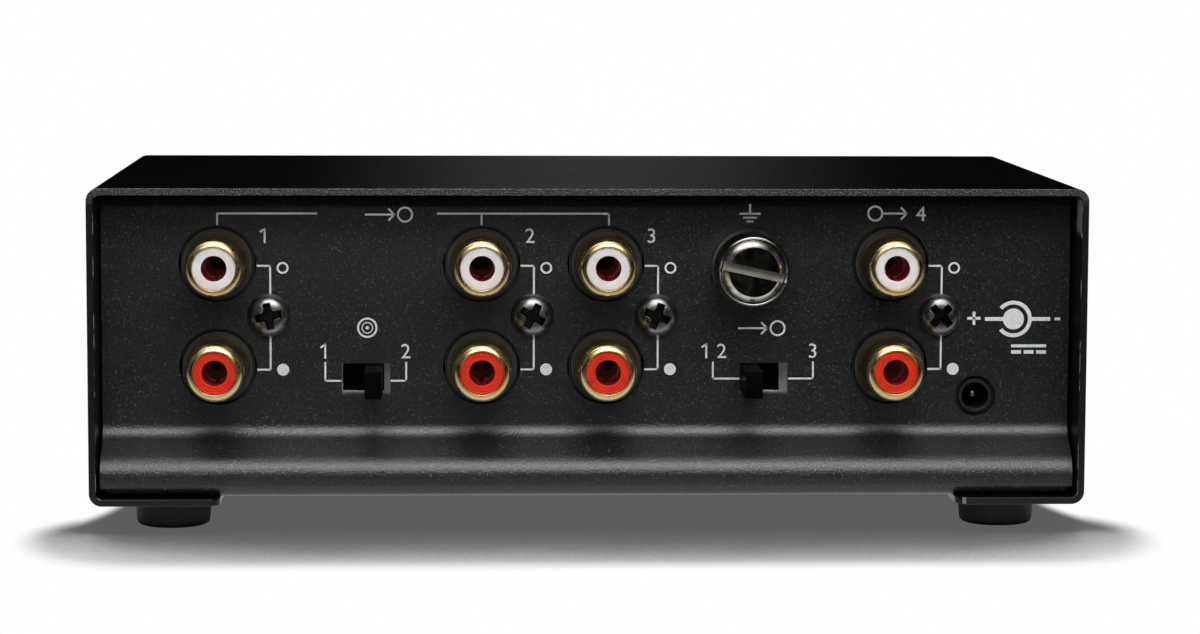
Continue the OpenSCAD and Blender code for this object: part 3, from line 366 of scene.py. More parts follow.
def noise(tree, size, detail=2.0, stretch=(1, 1, 1)):
    """Noise on the piece's own coordinates, with grains of about the given size."""
    place = tree.nodes.new("ShaderNodeTexCoord")
    scaling = tree.nodes.new("ShaderNodeMapping")
    scaling.inputs["Scale"].default_value = stretch
    grains = tree.nodes.new("ShaderNodeTexNoise")
    grains.inputs["Scale"].default_value = 1 / size
    grains.inputs["Detail"].default_value = detail
    tree.links.new(place.outputs["Object"], scaling.inputs["Vector"])
    tree.links.new(scaling.outputs["Vector"], grains.inputs["Vector"])
    return grains.outputs["Fac"]


def tint(tree, shader, value, stops):
    """Colours the surface by a pattern."""
    tree.links.new(ramp(tree, value, stops), shader.inputs["Base Color"])


def vary(tree, shader, socket, value, low, high):
    """Lets a plain value, such as roughness, follow a pattern between two limits."""
    tree.links.new(rescale(tree, value, (0.3, 0.7), (low, high)), shader.inputs[socket])


def emboss(tree, shader, value, depth):
    """Raises and lowers the surface by a pattern."""
    bump = tree.nodes.new("ShaderNodeBump")
    bump.inputs["Strength"].default_value = 1
    bump.inputs["Distance"].default_value = depth
    tree.links.new(value, bump.inputs["Height"])
    tree.links.new(bump.outputs["Normal"], shader.inputs["Normal"])


def textured_paint(name, shade, fleck, grain, depth, roughness, specular):
    """Powder coat: a grainy skin in one shade with a few paler flecks."""
    material, tree, shader = surface(name, roughness, specular=specular)
    grains = noise(tree, grain, detail=3)
    tint(tree, shader, grains, [
        (0.30, [0.6 * c for c in shade]), (0.52, shade),
        (0.62, [1.5 * c for c in shade]), (0.70, fleck)])
    vary(tree, shader, "Roughness", noise(tree, 1.7 * grain), roughness - 0.04, roughness + 0.04)
    emboss(tree, shader, grains, depth)
    return material


cover_low, cover_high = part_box("cover")
cover_black = (0.0016, 0.0016, 0.0017)
cover_paint = textured_paint(
    "black_textured_paint", cover_black, (0.014, 0.014, 0.015),
    grain=0.35 * mm, depth=0.035 * mm, roughness=0.3, specular=0.2)

# The rim's face is rubbed pale in specks. Along the top it is paler still: partly wear, partly a
# painted highlight where the rounded edge catches the light from above
highlight_from, highlight_full = 2.5 * mm, 0.9 * mm
worn_and_highlit_paint, tree, shader = surface("worn_and_highlit_edge_paint", 0.38, specular=0.35)
specks = noise(tree, 0.2 * mm, detail=3)
wear_and_highlight = tree.nodes.new("ShaderNodeMix")
wear_and_highlight.data_type = "RGBA"
near_top = rescale(tree, position(tree)["Z"], (cover_high.z - highlight_from, cover_high.z - highlight_full))
tree.links.new(near_top, wear_and_highlight.inputs["Factor"])
tree.links.new(ramp(tree, specks, [(0.4, grey(0.0015)), (0.7, grey(0.012))]), wear_and_highlight.inputs["A"])
tree.links.new(ramp(tree, specks, [(0.38, grey(0.005)), (0.53, grey(0.025)), (0.66, grey(0.2))]),
               wear_and_highlight.inputs["B"])
tree.links.new(wear_and_highlight.outputs["Result"], shader.inputs["Base Color"])
emboss(tree, shader, specks, 0.02 * mm)

# The rim's inner edges are chipped in upright patches
chipped_paint, tree, shader = surface("chipped_edge_paint", 0.4, specular=0.3)
tint(tree, shader, noise(tree, 1.1 * mm, detail=5, stretch=(1, 1, 0.45)), [
    (0.49, grey(0.002)), (0.54, grey(0.014)), (0.60, (0.20, 0.20, 0.195))])

# The top of the right inner wall is rubbed bare in a patch with a ragged border
rub_height, rub_depth, rub_raggedness, rub_border = 7.2 * mm, 4.2 * mm, 6 * mm, 1.2 * mm
rubbed_paint, tree, shader = surface("rubbed_paint", 0.42, specular=0.25)
spot = position(tree)
ragged = reckon(tree, "MULTIPLY", reckon(
    tree, "SUBTRACT", noise(tree, 0.9 * mm, detail=4, stretch=(1, 1, 0.35)), 0.5), rub_raggedness)
above_foot = reckon(
    tree, "SUBTRACT", reckon(tree, "ADD", spot["Z"], ragged), cover_high.z - rub_height)
before_end = reckon(
    tree, "SUBTRACT", cover_low.y + rub_depth, reckon(tree, "ADD", spot["Y"], ragged))
rubbed = rescale(tree, reckon(tree, "MINIMUM", above_foot, before_end), (0, rub_border))
tint(tree, shader, rubbed, [(0.0, cover_black), (1.0, grey(0.25))])
emboss(tree, shader, noise(tree, 0.35 * mm, detail=3), 0.03 * mm)

rim_depth = 0.35 * mm
inner_wall_x = 0.9 * cover_high.x
cover_paints = [cover_paint, worn_and_highlit_paint, chipped_paint, rubbed_paint]
shape = merged_shape("cover")
break_edges(shape, 0.3 * mm, segments=3)
for face in shape.faces:
    middle = face.calc_center_median()
    if face.normal.x < -0.99 and middle.x > inner_wall_x:
        face.material_index = cover_paints.index(rubbed_paint)
    if middle.y > cover_low.y + rim_depth or face.normal.y > -0.1:
        continue
    face.material_index = cover_paints.index(worn_and_highlit_paint)
    if face.normal.x * middle.x < -0.1 * abs(middle.x) and face.normal.y > -0.95:
        face.material_index = cover_paints.index(chipped_paint)
shade_rounds(shape)
fitted("painted_cover", shape, cover_paints, "case", "black_wrinkle_paint", "cover")

# ---------------------------------------------------------------- Tray with the connector panel
# One folded sheet makes the floor, the kicked strip and the connector panel. Its powder coat
# is finer than the cover's.
panel_paint = textured_paint(
    "black_fine_paint", (0.0062, 0.0073, 0.0078), (0.06, 0.064, 0.066),
    grain=0.3 * mm, depth=0.055 * mm, roughness=0.33, specular=0.82)
# The outer corners of the kick's two bends in mm, and the radii that they have and are given
strip_y, strip_top, panel_y, slope_top = -37.45, 9.45, -32.2, 13.6
kick_angle = math.atan2(panel_y - strip_y, slope_top - strip_top)
strip_bend_r, strip_bend_wide_r = 1.8, 4.0
panel_bend_r, panel_bend_wide_r = 0.8, 3.0


def wider_bend(shape, corner_y, corner_z, old_r, new_r, hollow):
    """Gives the outer face of a bend a larger radius, given by its corner in mm."""
    reach = math.tan(kick_angle / 2)
    sign = -1 if hollow else 1
    slack = 0.01
    for vertex in shape.verts:
        y, z = vertex.co.y / mm, vertex.co.z / mm
        across = sign * (corner_y + sign * old_r - y)
        up = sign * (z - (corner_z - sign * reach * old_r))
        angle = math.atan2(up, across)
        if abs(math.hypot(across, up) - old_r) < slack and -slack < angle < kick_angle + slack:
            vertex.co.y = (corner_y + sign * new_r - sign * new_r * math.cos(angle)) * mm
            vertex.co.z = (corner_z - sign * reach * new_r + sign * new_r * math.sin(angle)) * mm


shape = merged_shape("chassis_tray")
wider_bend(shape, strip_y, strip_top, strip_bend_r, strip_bend_wide_r, hollow=False)
wider_bend(shape, panel_y, slope_top, panel_bend_r, panel_bend_wide_r, hollow=True)
break_edges(shape, 0.08 * mm)
shade_rounds(shape)
fitted("painted_tray", shape, [panel_paint], "case", "dark_panel_paint", "chassis_tray")

# ---------------------------------------------------------------- Printed legend
# Pale ink that is screen-printed on the panel's paint: lines that tie each jack to its column,
# plain numbers, and the usual symbols for input, output, earth, disc and direct current.
panel_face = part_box("power_inlet_body")[0].y
ink_height = 0.02 * mm
line_width, sign_width, bold_width = 0.27, 0.4, 0.55
digit_height = 2.05
jack_columns = ("coil_in", "magnet_in", "line_in", "line_out")


def axis_of(node):
    """Where a round piece's axis meets the panel, as x and z in mm."""
    low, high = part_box(node)
    return (low.x + high.x) / 2 / mm, (low.z + high.z) / 2 / mm


def stroke(shape, start, end, width=line_width):
    """A printed line with square ends, given by x and z in mm."""
    start, end = Vector(start), Vector(end)
    along = end - start
    made = bmesh.ops.create_cube(shape, size=1)["verts"]
    bmesh.ops.scale(shape, vec=((along.length + width) * mm, ink_height, width * mm), verts=made)
    turn = Matrix.Rotation(-math.atan2(along.y, along.x), 3, "Y")
    bmesh.ops.rotate(shape, cent=(0, 0, 0), matrix=turn, verts=made)
    middle = (start + end) / 2 * mm
    bmesh.ops.translate(shape, vec=(middle.x, panel_face - 0.4 * ink_height, middle.y), verts=made)


def level(shape, left, right, z, width=line_width):
    """A printed line that lies level."""
    stroke(shape, (left, z), (right, z), width)


def route(shape, *points, width=line_width):
    """A printed line that turns at each point."""
    for start, end in zip(points, points[1:]):
        stroke(shape, start, end, width)


def printed_ring(shape, centre, radius, width=line_width, start=0, sweep=360):
    """A printed circle, or a part of one that starts at an angle counted from the right."""
    x, z = centre[0] * mm, centre[1] * mm
    inner, outer = x + (radius - width / 2) * mm, x + (radius + width / 2) * mm
    front, back = panel_face - 0.9 * ink_height, panel_face + 0.1 * ink_height
    corners = [shape.verts.new(place) for place in (
        (inner, front, z), (inner, back, z), (outer, back, z), (outer, front, z))]
    section = shape.faces.new(corners)
    turned_to = Matrix.Rotation(-math.radians(start), 3, "Y")
    bmesh.ops.rotate(shape, cent=(x, 0, z), matrix=turned_to, verts=corners)
    whole = sweep == 360
    if whole:
        bmesh.ops.delete(shape, geom=[section], context="FACES_ONLY")
    sides = [shape.edges.get(pair) for pair in zip(corners, corners[1:] + corners[:1])]
    bmesh.ops.spin(
        shape, geom=corners + sides + ([] if whole else [section]), cent=(x, 0, z), axis=(0, -1, 0),
        angle=math.radians(sweep), steps=round(sweep / 7.5), use_merge=whole)


def printed_dot(shape, centre, radius):
    """A printed disc."""
    made = bmesh.ops.create_cone(
        shape, segments=40, radius1=radius * mm, radius2=radius * mm, depth=ink_height,
        cap_ends=True)["verts"]
    bmesh.ops.rotate(shape, cent=(0, 0, 0), matrix=Matrix.Rotation(math.pi / 2, 3, "X"), verts=made)
    bmesh.ops.translate(
        shape, vec=(centre[0] * mm, panel_face - 0.45 * ink_height, centre[1] * mm), verts=made)


def arrow(shape, tail, tip, head=0.75):
    """A printed arrow that points left or right."""
    way = math.copysign(1, tip[0] - tail[0])
    stroke(shape, tail, tip)
    for side in (-1, 1):
        stroke(shape, (tip[0] - way * head, tip[1] + side * head), tip)


def input_symbol(shape, x, z):
    """A printed arrow that points right at a circle, with its tail at a place."""
    arrow(shape, (x, z), (x + 4.0, z))
    printed_ring(shape, (x + 5.5, z), 1.0)


def numeral(shape, digit, x, z):
    """A printed digit with its lower left corner at a place. A one is drawn with a flag."""
    if digit == "1":
        stem_x, flag_z, top_z = x + 0.55, z + 0.78 * digit_height, z + digit_height - 0.1
        route(shape, (x, flag_z), (stem_x, top_z), (stem_x, z + 0.1))
        return
    letter = bpy.data.curves.new("digit", "FONT")
    letter.body = digit
    letter.extrude = 0.5
    letter.resolution_u = 6
    pattern = bpy.data.objects.new("digit", letter)
    scene.collection.objects.link(pattern)
    bpy.context.view_layer.update()
    shown = pattern.evaluated_get(bpy.context.evaluated_depsgraph_get())
    mesh = bpy.data.meshes.new_from_object(shown)
    bpy.data.objects.remove(pattern)
    bpy.data.curves.remove(letter)
    low = Vector([min(v.co[i] for v in mesh.vertices) for i in range(3)])
    high = Vector([max(v.co[i] for v in mesh.vertices) for i in range(3)])
    scale = digit_height * mm / (high.y - low.y)
    solid = bmesh.new()
    solid.from_mesh(mesh)
    bmesh.ops.remove_doubles(solid, verts=solid.verts, dist=0.0001)
    bmesh.ops.recalc_face_normals(solid, faces=solid.faces)
    solid.to_mesh(mesh)
    solid.free()
    mesh.transform(Matrix.Translation((x * mm, panel_face - 0.4 * ink_height, z * mm))
                   @ Matrix.Rotation(math.pi / 2, 4, "X")
                   @ Matrix.Diagonal((scale, scale, ink_height, 1))
                   @ Matrix.Translation((-low.x, -low.y, 0)))
    shape.from_mesh(mesh)
    bpy.data.meshes.remove(mesh)


shape = bmesh.new()
# A line from each jack towards the other one of its column, with a ring for the left channel
# and a dot for the right one
tie_start, tie_shift, tie_gap, mark_shift = 5.65, 7.4, 3.0, 1.75
for column in jack_columns:
    x, left_z = axis_of(column + "_left_shell")
    right_z = axis_of(column + "_right_shell")[1]
    middle_z = (left_z + right_z) / 2
    tie_x = x + tie_shift
    for z, end_z in ((left_z - 0.3, middle_z + tie_gap), (right_z - 0.45, middle_z - tie_gap)):
        route(shape, (x + tie_start, z), (tie_x, z), (tie_x, end_z))
    printed_ring(shape, (tie_x + mark_shift, left_z - 0.6), 0.7)
    printed_dot(shape, (tie_x + mark_shift, right_z - 0.45), 0.85)
# Heading of the three inputs
coil_x, magnet_x, line_in_x, line_out_x = [
    axis_of(column + "_left_shell")[0] for column in jack_columns]
jack_top = axis_of("coil_in_left_shell")[1] + 5.6
head_z = jack_top + 1.5
heading_left, heading_right, symbol_x = -38.4, -21.25, -31.4
line_drop_x = line_in_x + 0.4
route(shape, (coil_x, jack_top), (coil_x, head_z), (heading_left, head_z))
route(shape, (heading_right, head_z), (line_drop_x, head_z), (line_drop_x, jack_top))
route(shape, (magnet_x, head_z), (magnet_x, jack_top))
input_symbol(shape, symbol_x, head_z - 0.15)
# Numbers of the columns, and the output's symbol
for digit, digit_x in (("1", coil_x + 6.1), ("2", magnet_x + 6.2), ("3", line_in_x + 5.9)):
    numeral(shape, digit, digit_x, jack_top - 2.65)
output_z = head_z + 0.05
printed_ring(shape, (line_out_x - 2.2, output_z), 1.0)
arrow(shape, (line_out_x - 1.0, output_z), (line_out_x + 2.3, output_z))
numeral(shape, "4", line_out_x + 3.6, head_z - 1.0)
# Earth
earth_x, earth_z = axis_of("earth_washer")
stroke(shape, (earth_x, head_z + 1.25), (earth_x, head_z))
for step, half in enumerate((1.35, 0.85, 0.35)):
    level(shape, earth_x - half, earth_x + half, head_z - 0.55 * step)
# Switches: a line from each end of the slot up to the numbers of the positions
slot_shift, slot_half, arm_height, digit_rise = 0.45, 3.62, 2.3, 2.95
for switch, left_arm, right_arm, drop, digits in (
        ("cartridge_switch", 5.75, 5.68, 0.25, (("1", -6.3), ("2", 4.98))),
        ("source_switch", 7.28, 7.0, 0, (("1", -8.78), ("2", -6.68), ("3", 6.4)))):
    x = axis_of(switch + "_frame")[0] + slot_shift
    z = axis_of(switch + "_slider")[1]
    for slot_x, arm_x in ((x - slot_half, x - left_arm), (x + slot_half, x + right_arm)):
        route(shape, (slot_x, z - drop), (arm_x, z - drop), (arm_x, z + arm_height))
    for digit, digit_shift in digits:
        numeral(shape, digit, x + digit_shift, z + digit_rise)
    if switch == "cartridge_switch":
        disc = (x + 0.2, z + 7.3)
        printed_ring(shape, disc, 1.3)
        printed_ring(shape, disc, 0.75, 0.14)
        printed_dot(shape, disc, 0.25)
    else:
        input_symbol(shape, x - 3.6, z + 7.2)
# Polarity of the power inlet: plus at its pin, minus at its sleeve
mouth_x, mark_z = 60.66, 29.6
plus_x, plus_z, plus_half = 55.0, mark_z + 0.1, 0.75
pin_lead, sleeve_lead, minus = (56.85, 58.95), (63.5, 65.65), (66.75, 67.15)
level(shape, plus_x - plus_half, plus_x + plus_half, plus_z, sign_width)
stroke(shape, (plus_x, plus_z + plus_half), (plus_x, plus_z - plus_half), sign_width)
level(shape, *pin_lead, mark_z, bold_width)
printed_dot(shape, (mouth_x, mark_z), 1.5)
printed_ring(shape, (mouth_x, mark_z), 2.35, bold_width, start=-140, sweep=280)
level(shape, *sleeve_lead, mark_z, bold_width)
level(shape, *minus, mark_z, sign_width)
# Direct current: a bar over three dashes
bar_left, bar_right, bar_z = 60.6, 65.2, 25.75
dash_x, dash_z, dash_step, dash_length = 60.65, 24.87, 1.8, 0.9
level(shape, bar_left, bar_right, bar_z, 0.42)
for dash in range(3):
    start_x = dash_x + dash_step * dash
    level(shape, start_x, start_x + dash_length, dash_z, 0.5)
bmesh.ops.recalc_face_normals(shape, faces=shape.faces)

legend_ink, tree, shader = surface("pale_ink", 0.62, specular=0.3)
grains = noise(tree, 0.12 * mm, detail=3)
tint(tree, shader, grains, [
    (0.25, (0.34, 0.35, 0.34)), (0.45, (0.56, 0.57, 0.56)), (0.7, (0.64, 0.65, 0.63))])
emboss(tree, shader, grains, 0.006 * mm)
fitted("panel_legend", shape, [legend_ink], "case", "legend_ink")

# ---------------------------------------------------------------- Jack housings
# Black glass-filled mouldings, one for each column. Two stepped collars fill the panel's holes
# and an ear takes the screw. They have the fine grain of a spark-eroded mould.


def moulding(name, shade, grain, depth, roughness, specular=0.4):
    """Moulded plastic: one shade with a fine mould grain and a soft cloudiness."""
    material, tree, shader = surface(name, roughness, specular=specular)
    grains = noise(tree, grain, detail=2)
    tint(tree, shader, noise(tree, 30 * grain), [
        (0.3, [0.75 * c for c in shade]), (0.5, shade), (0.7, [1.3 * c for c in shade])])
    vary(tree, shader, "Roughness", grains, roughness - 0.06, roughness + 0.06)
    emboss(tree, shader, grains, depth)
    return material


def softened(name, node, material, body, slot, edge, sharp=40, segments=2, smooth=35):
    """The node's own piece with its edges rounded and its finish on."""
    shape = merged_shape(node)
    break_edges(shape, edge, sharp, segments)
    shade_rounds(shape, smooth)
    fitted(name, shape, [material], body, slot, node)


collar_moulding = moulding(
    "black_moulding", (0.022, 0.0205, 0.0175), 0.12 * mm, 0.005 * mm, roughness=0.4, specular=0.5)
for column in jack_columns:
    softened(column + "_moulding", column + "_housing", collar_moulding, "case", "black_moulding",
             edge=0.06 * mm)

# ---------------------------------------------------------------- Jack shells
# Brass tubes, turned and gold-plated. The front end is rounded over inward to the insert and
# the rear end is held in the housing by a flange.
turned_steps = 128


def arc_points(r, depth, radius, start, end, steps):
    """Points of an arc in the plane of radius and depth, from one angle to another."""
    angles = [math.radians(start + (end - start) * i / steps) for i in range(steps + 1)]
    return [(r + radius * math.cos(angle), depth + radius * math.sin(angle)) for angle in angles]


def off_axis(point, x, z):
    """How far a point lies from an axis from front to back that is given in mm."""
    return math.hypot(point.x - x * mm, point.z - z * mm)


def turned(shape, outline, x, z, steps=turned_steps):
    """Turns an outline about an axis: pairs of radius and depth behind the panel, in mm."""
    corners = [shape.verts.new(((x + r) * mm, panel_face + depth * mm, z * mm))
               for r, depth in outline]
    sides = [shape.edges.new(pair) for pair in zip(corners, corners[1:])]
    if outline[0][0] > 0:
        sides.append(shape.edges.new((corners[-1], corners[0])))
    bmesh.ops.spin(
        shape, geom=corners + sides, cent=(x * mm, 0, z * mm), axis=(0, 1, 0),
        angle=2 * math.pi, steps=steps, use_merge=True)
    bmesh.ops.remove_doubles(shape, verts=shape.verts, dist=0.0005 * mm)
    bmesh.ops.recalc_face_normals(shape, faces=shape.faces)


def plated(name, colour, dull, roughness, marks=0.3 * mm):
    """Plated metal: a little of a second tone, faint turning marks and a soft unevenness."""
    material, tree, shader = surface(name, roughness, metallic=1)
    tint(tree, shader, noise(tree, 2.2 * mm, detail=3), [(0.3, dull), (0.6, colour)])
    rings = noise(tree, marks, detail=2, stretch=(0.25, 4, 0.25))
    vary(tree, shader, "Roughness", rings, 0.7 * roughness, 1.4 * roughness)
    emboss(tree, shader, rings, 0.0012 * mm)
    return material


gold_plate = plated("gold_plate", (0.95, 0.74, 0.38), (0.86, 0.63, 0.28), 0.25)
# A much darker copy of the gold: painted shade for the tube behind the front end
shaded_gold = plated("shaded_gold", (0.22, 0.155, 0.06), (0.15, 0.10, 0.04), 0.35)
shell_r, shell_seat_r, shell_flange_r, shell_bore_r = 4.1, 4.3, 4.65, 3.65
shell_rear, flange_front, seat_front, tube_middle = 4.0, 3.4, -0.8, -4.0
lip_r, lip_fold, lip_mouth_r, lip_edge_r, shell_end, lip_back = 1.25, 77.5, 3.05, 0.07, -8.6, -7.775
lip_axis = shell_end + lip_r * math.sin(math.radians(lip_fold))
shell_outline = (
    [(shell_bore_r, shell_rear), (shell_flange_r, shell_rear)]
    + [(shell_flange_r, flange_front), (shell_seat_r, flange_front)]
    + [(shell_seat_r, seat_front + 0.06), (shell_seat_r - 0.06, seat_front)]
    + [(shell_r, seat_front), (shell_r, tube_middle)]
    + arc_points(shell_r - lip_r, lip_axis, lip_r, 0, -lip_fold, 20)
    + arc_points(lip_mouth_r + lip_edge_r, shell_end + lip_edge_r, lip_edge_r, -90, -180, 4)
    + [(lip_mouth_r, lip_back), (shell_bore_r, lip_back)]
)
shaded_r, shaded_front = 4.0, -7.4
for column in jack_columns:
    for side in ("left", "right"):
        node = column + "_" + side + "_shell"
        x, z = axis_of(node)
        shape = bmesh.new()
        turned(shape, shell_outline, x, z)
        shade_rounds(shape, 30)
        # Behind the rounded front end the gold is darkened: painted shade, a much darker copy of
        # the plating
        for face in shape.faces:
            middle = face.calc_center_median()
            if middle.y > panel_face + shaded_front * mm and off_axis(middle, x, z) > shaded_r * mm:
                face.material_index = 1
        fitted("gold_" + node, shape, [gold_plate, shaded_gold], "case", "gold_plate", node)

# ---------------------------------------------------------------- Jack inserts
# Injection-moulded insulators, white above and red below. The face has a rounded rim, and the
# red ones have shallow rings from the mould. The dark red core that holds the socket lets a little
# light in, and a faint painted glow on it stands in for more of that light.


def insulator(name, colour, shadow, roughness, specular=0.5):
    """Glossy moulded plastic that lets a little light in."""
    material, tree, shader = surface(name, roughness, specular=specular)
    shader.inputs["Subsurface Weight"].default_value = 0.12
    shader.inputs["Subsurface Radius"].default_value = (1.2 * mm, 0.8 * mm, 0.6 * mm)
    shader.inputs["Subsurface Scale"].default_value = 0.6
    tint(tree, shader, noise(tree, 1.6 * mm, detail=4), [(0.3, shadow), (0.62, colour)])
    vary(tree, shader, "Roughness", noise(tree, 0.5 * mm), roughness - 0.05, roughness + 0.07)
    emboss(tree, shader, noise(tree, 0.35 * mm), 0.004 * mm)
    return material


def painted_glow(material, colour, strength):
    """A trace of painted light from a material, standing in for light that reaches it from around
    it.
    """
    shader = material.node_tree.nodes["Principled BSDF"]
    shader.inputs["Emission Color"].default_value = (*colour, 1)
    shader.inputs["Emission Strength"].default_value = strength


white_plastic = insulator("white_plastic", (0.66, 0.62, 0.62), (0.58, 0.545, 0.54), 0.3)
red_plastic = insulator(
    "red_plastic", (0.60, 0.024, 0.002), (0.50, 0.018, 0.002), 0.3, specular=0.3)
core_plastic = insulator("dark_red_plastic", (0.30, 0.008, 0.03), (0.20, 0.006, 0.02), 0.25)
# Painted light: the core glows faintly red
painted_glow(core_plastic, (0.30, 0.02, 0.04), 0.05)
insert_face_r, insert_hole_r, insert_body_r = 3.03, 1.78, 3.63
insert_front, insert_shoulder, insert_rear = -8.25, -7.755, 8.0
core_front = insert_front + 0.3
socket_front, socket_bore_r = insert_front + 6, 2.07
insert_mouth = [(insert_hole_r, core_front)] + arc_points(
    insert_hole_r + 0.12, insert_front + 0.12, 0.12, 180, 270, 5)
mould_rings = [(r, insert_front + dip) for r, dip in (
    (2.16, 0.0), (2.22, 0.05), (2.36, 0.05), (2.42, 0.0),
    (2.6, 0.0), (2.66, 0.04), (2.76, 0.04), (2.82, 0.0))]
insert_body = (
    arc_points(insert_face_r - 0.1, insert_front + 0.1, 0.1, 270, 360, 5)
    + [(insert_face_r, insert_shoulder), (insert_body_r, insert_shoulder)]
    + [(insert_body_r, insert_rear), (socket_bore_r, insert_rear), (socket_bore_r, socket_front)]
    + [(insert_hole_r, socket_front)]
)
core_r = insert_hole_r + 0.02
for column in jack_columns:
    for side, plastic, slot, insert_outline in (
            ("left", white_plastic, "white_insert", insert_mouth + insert_body),
            ("right", red_plastic, "red_insert", insert_mouth + mould_rings + insert_body)):
        node = column + "_" + side + "_insert"
        x, z = axis_of(node)
        shape = bmesh.new()
        turned(shape, insert_outline, x, z)
        shade_rounds(shape, 30)
        # The wall of the hole is the dark red core
        for face in shape.faces:
            middle = face.calc_center_median()
            if off_axis(middle, x, z) < core_r * mm and middle.y > panel_face + core_front * mm:
                face.material_index = 1
        fitted("moulded_" + node, shape, [plastic, core_plastic], "case", slot, node)

# ---------------------------------------------------------------- Jack contacts
# Slit spring sockets of bare bronze behind the inserts, each with a tail down to the board. A faint
# red painted glow on them stands in for the light that the red core around them passes on.


def finished(node, material):
    """Gives a piece that keeps its own shape its finish."""
    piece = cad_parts[node]
    piece.data.materials.clear()
    piece.data.materials.append(material)


dull_bronze = plated("dull_bronze", (0.55, 0.38, 0.24), (0.40, 0.28, 0.17), 0.5)
# Painted light: a faint red glow on the bronze
painted_glow(dull_bronze, (0.30, 0.05, 0.04), 0.035)
for column in jack_columns:
    finished(column + "_contacts", dull_bronze)

# ---------------------------------------------------------------- Jack screws
# Pan heads with a cross recess, cold-headed and black nickel plated. The recess tapers to its
# bottom and its corners are rounded where the punch went in.


def cut_away(shape, cutter):
    """Takes one closed shape out of another."""
    parts = [bpy.data.objects.new("cut", mesh_of("cut", solid)) for solid in (shape, cutter)]
    for part in parts:
        scene.collection.objects.link(part)
    cut = parts[0].modifiers.new("cut", "BOOLEAN")
    cut.operation = "DIFFERENCE"
    cut.solver = "EXACT"
    cut.object = parts[1]
    bpy.context.view_layer.update()
    result = bmesh.new()
    result.from_object(parts[0], bpy.context.evaluated_depsgraph_get())
    for part in parts:
        mesh = part.data
        bpy.data.objects.remove(part)
        bpy.data.meshes.remove(mesh)
    bmesh.ops.remove_doubles(result, verts=result.verts, dist=0.001 * mm)
    bmesh.ops.dissolve_limit(
        result, angle_limit=math.radians(0.5), verts=result.verts, edges=result.edges)
    return result


def cross_cutter(x, z, front, turn):
    """The punch of a cross recess: a cross with round inner corners that narrows to its tip."""
    half, reach = recess_width / 2, recess_span / 2
    outline = []
    for corner in range(4):
        for across, along in ((half, half), (half, reach), (-half, reach)):
            for _ in range(corner):
                across, along = -along, across
            outline.append((across, along))
    punch = bmesh.new()
    ring = [punch.verts.new((across * mm, 0, along * mm)) for across, along in outline]
    punch.faces.new(ring)
    inner = [ring[3 * corner] for corner in range(4)]
    bmesh.ops.bevel(
        punch, geom=inner, offset=recess_corner_r * mm, segments=5, profile=0.5,
        affect="VERTICES", material=-1)
    tip = bmesh.ops.extrude_face_region(punch, geom=punch.faces[:])["geom"]
    tip_verts = [v for v in tip if isinstance(v, bmesh.types.BMVert)]
    bmesh.ops.translate(punch, vec=(0, recess_depth * mm, 0), verts=tip_verts)
    bmesh.ops.scale(punch, vec=(recess_taper, 1, recess_taper), verts=tip_verts)
    bmesh.ops.recalc_face_normals(punch, faces=punch.faces)
    turned_by = Matrix.Rotation(math.radians(turn), 3, "Y")
    bmesh.ops.rotate(punch, cent=(0, 0, 0), matrix=turned_by, verts=punch.verts)
    bmesh.ops.translate(punch, vec=(x * mm, panel_face + front * mm, z * mm), verts=punch.verts)
    return punch


dark_nickel = plated("dark_nickel", (0.36, 0.352, 0.34), (0.25, 0.243, 0.235), 0.3)
# A much darker copy of the nickel: painted shade inside the cross recess
shaded_recess = plated("shaded_recess", (0.045, 0.043, 0.04), (0.03, 0.028, 0.027), 0.3)
head_r, head_h, head_roundness, screw_r, screw_tip = 3.05, 1.9, 0.6, 1.5, 5.5
recess_span, recess_width, recess_depth = 3.9, 1.15, 1.6
recess_corner_r, recess_taper, shaded_recess_r, shaded_recess_from = 0.36, 0.7, 1.9, 0.35
dome = [math.radians(angle) for angle in range(84, 0, -6)]
head_outline = (
    [(0.0, -head_h)]
    + [(head_r * math.cos(angle) ** head_roundness, -head_h * math.sin(angle)) for angle in dome]
    + [(head_r, -0.05), (head_r - 0.05, 0.0), (screw_r, 0.0), (screw_r, screw_tip - 0.3)]
    + [(screw_r - 0.3, screw_tip), (0.0, screw_tip)]
)
ear_z = sum(axis_of("coil_in_" + side + "_shell")[1] for side in ("left", "right")) / 2
ear_shift = 7.2
screw_turns = (-10, 29, 21, 45)
screw_axes = [axis_of(column + "_left_shell")[0] + ear_shift for column in jack_columns]
heads = bmesh.new()
for x, turn in zip(screw_axes, screw_turns):
    shape = bmesh.new()
    turned(shape, head_outline, x, ear_z, 72)
    mesh = mesh_of("head", cut_away(shape, cross_cutter(x, ear_z, -head_h - 0.05, turn)))
    heads.from_mesh(mesh)
    bpy.data.meshes.remove(mesh)
break_edges(heads, 0.06 * mm, sharp=50)
# The recess is darkened with a much darker copy of the nickel: painted shade
recess_front, recess_back = panel_face - (head_h - shaded_recess_from) * mm, panel_face + 0.1 * mm
for face in heads.faces:
    middle = face.calc_center_median()
    from_axis = min(off_axis(middle, x, ear_z) for x in screw_axes)
    if from_axis < shaded_recess_r * mm and recess_front < middle.y < recess_back:
        face.material_index = 1
shade_rounds(heads, 30)
fitted("cross_head_screws", heads, [dark_nickel, shaded_recess],
       "case", "dark_nickel", "jack_screws")

# ---------------------------------------------------------------- Earth terminal
# A brass thumb screw, nickel plated: a knurled head, a thin ring and a slotted boss with a
# polished bevel. Its washer lies on the panel, and a nut and a solder lug are behind.
nickel_plate = plated("nickel_plate", (0.72, 0.69, 0.64), (0.60, 0.57, 0.52), 0.10)
bevel_nickel = plated(
    "bevel_nickel", (0.80, 0.77, 0.71), (0.55, 0.52, 0.47), 0.2, marks=0.12 * mm)
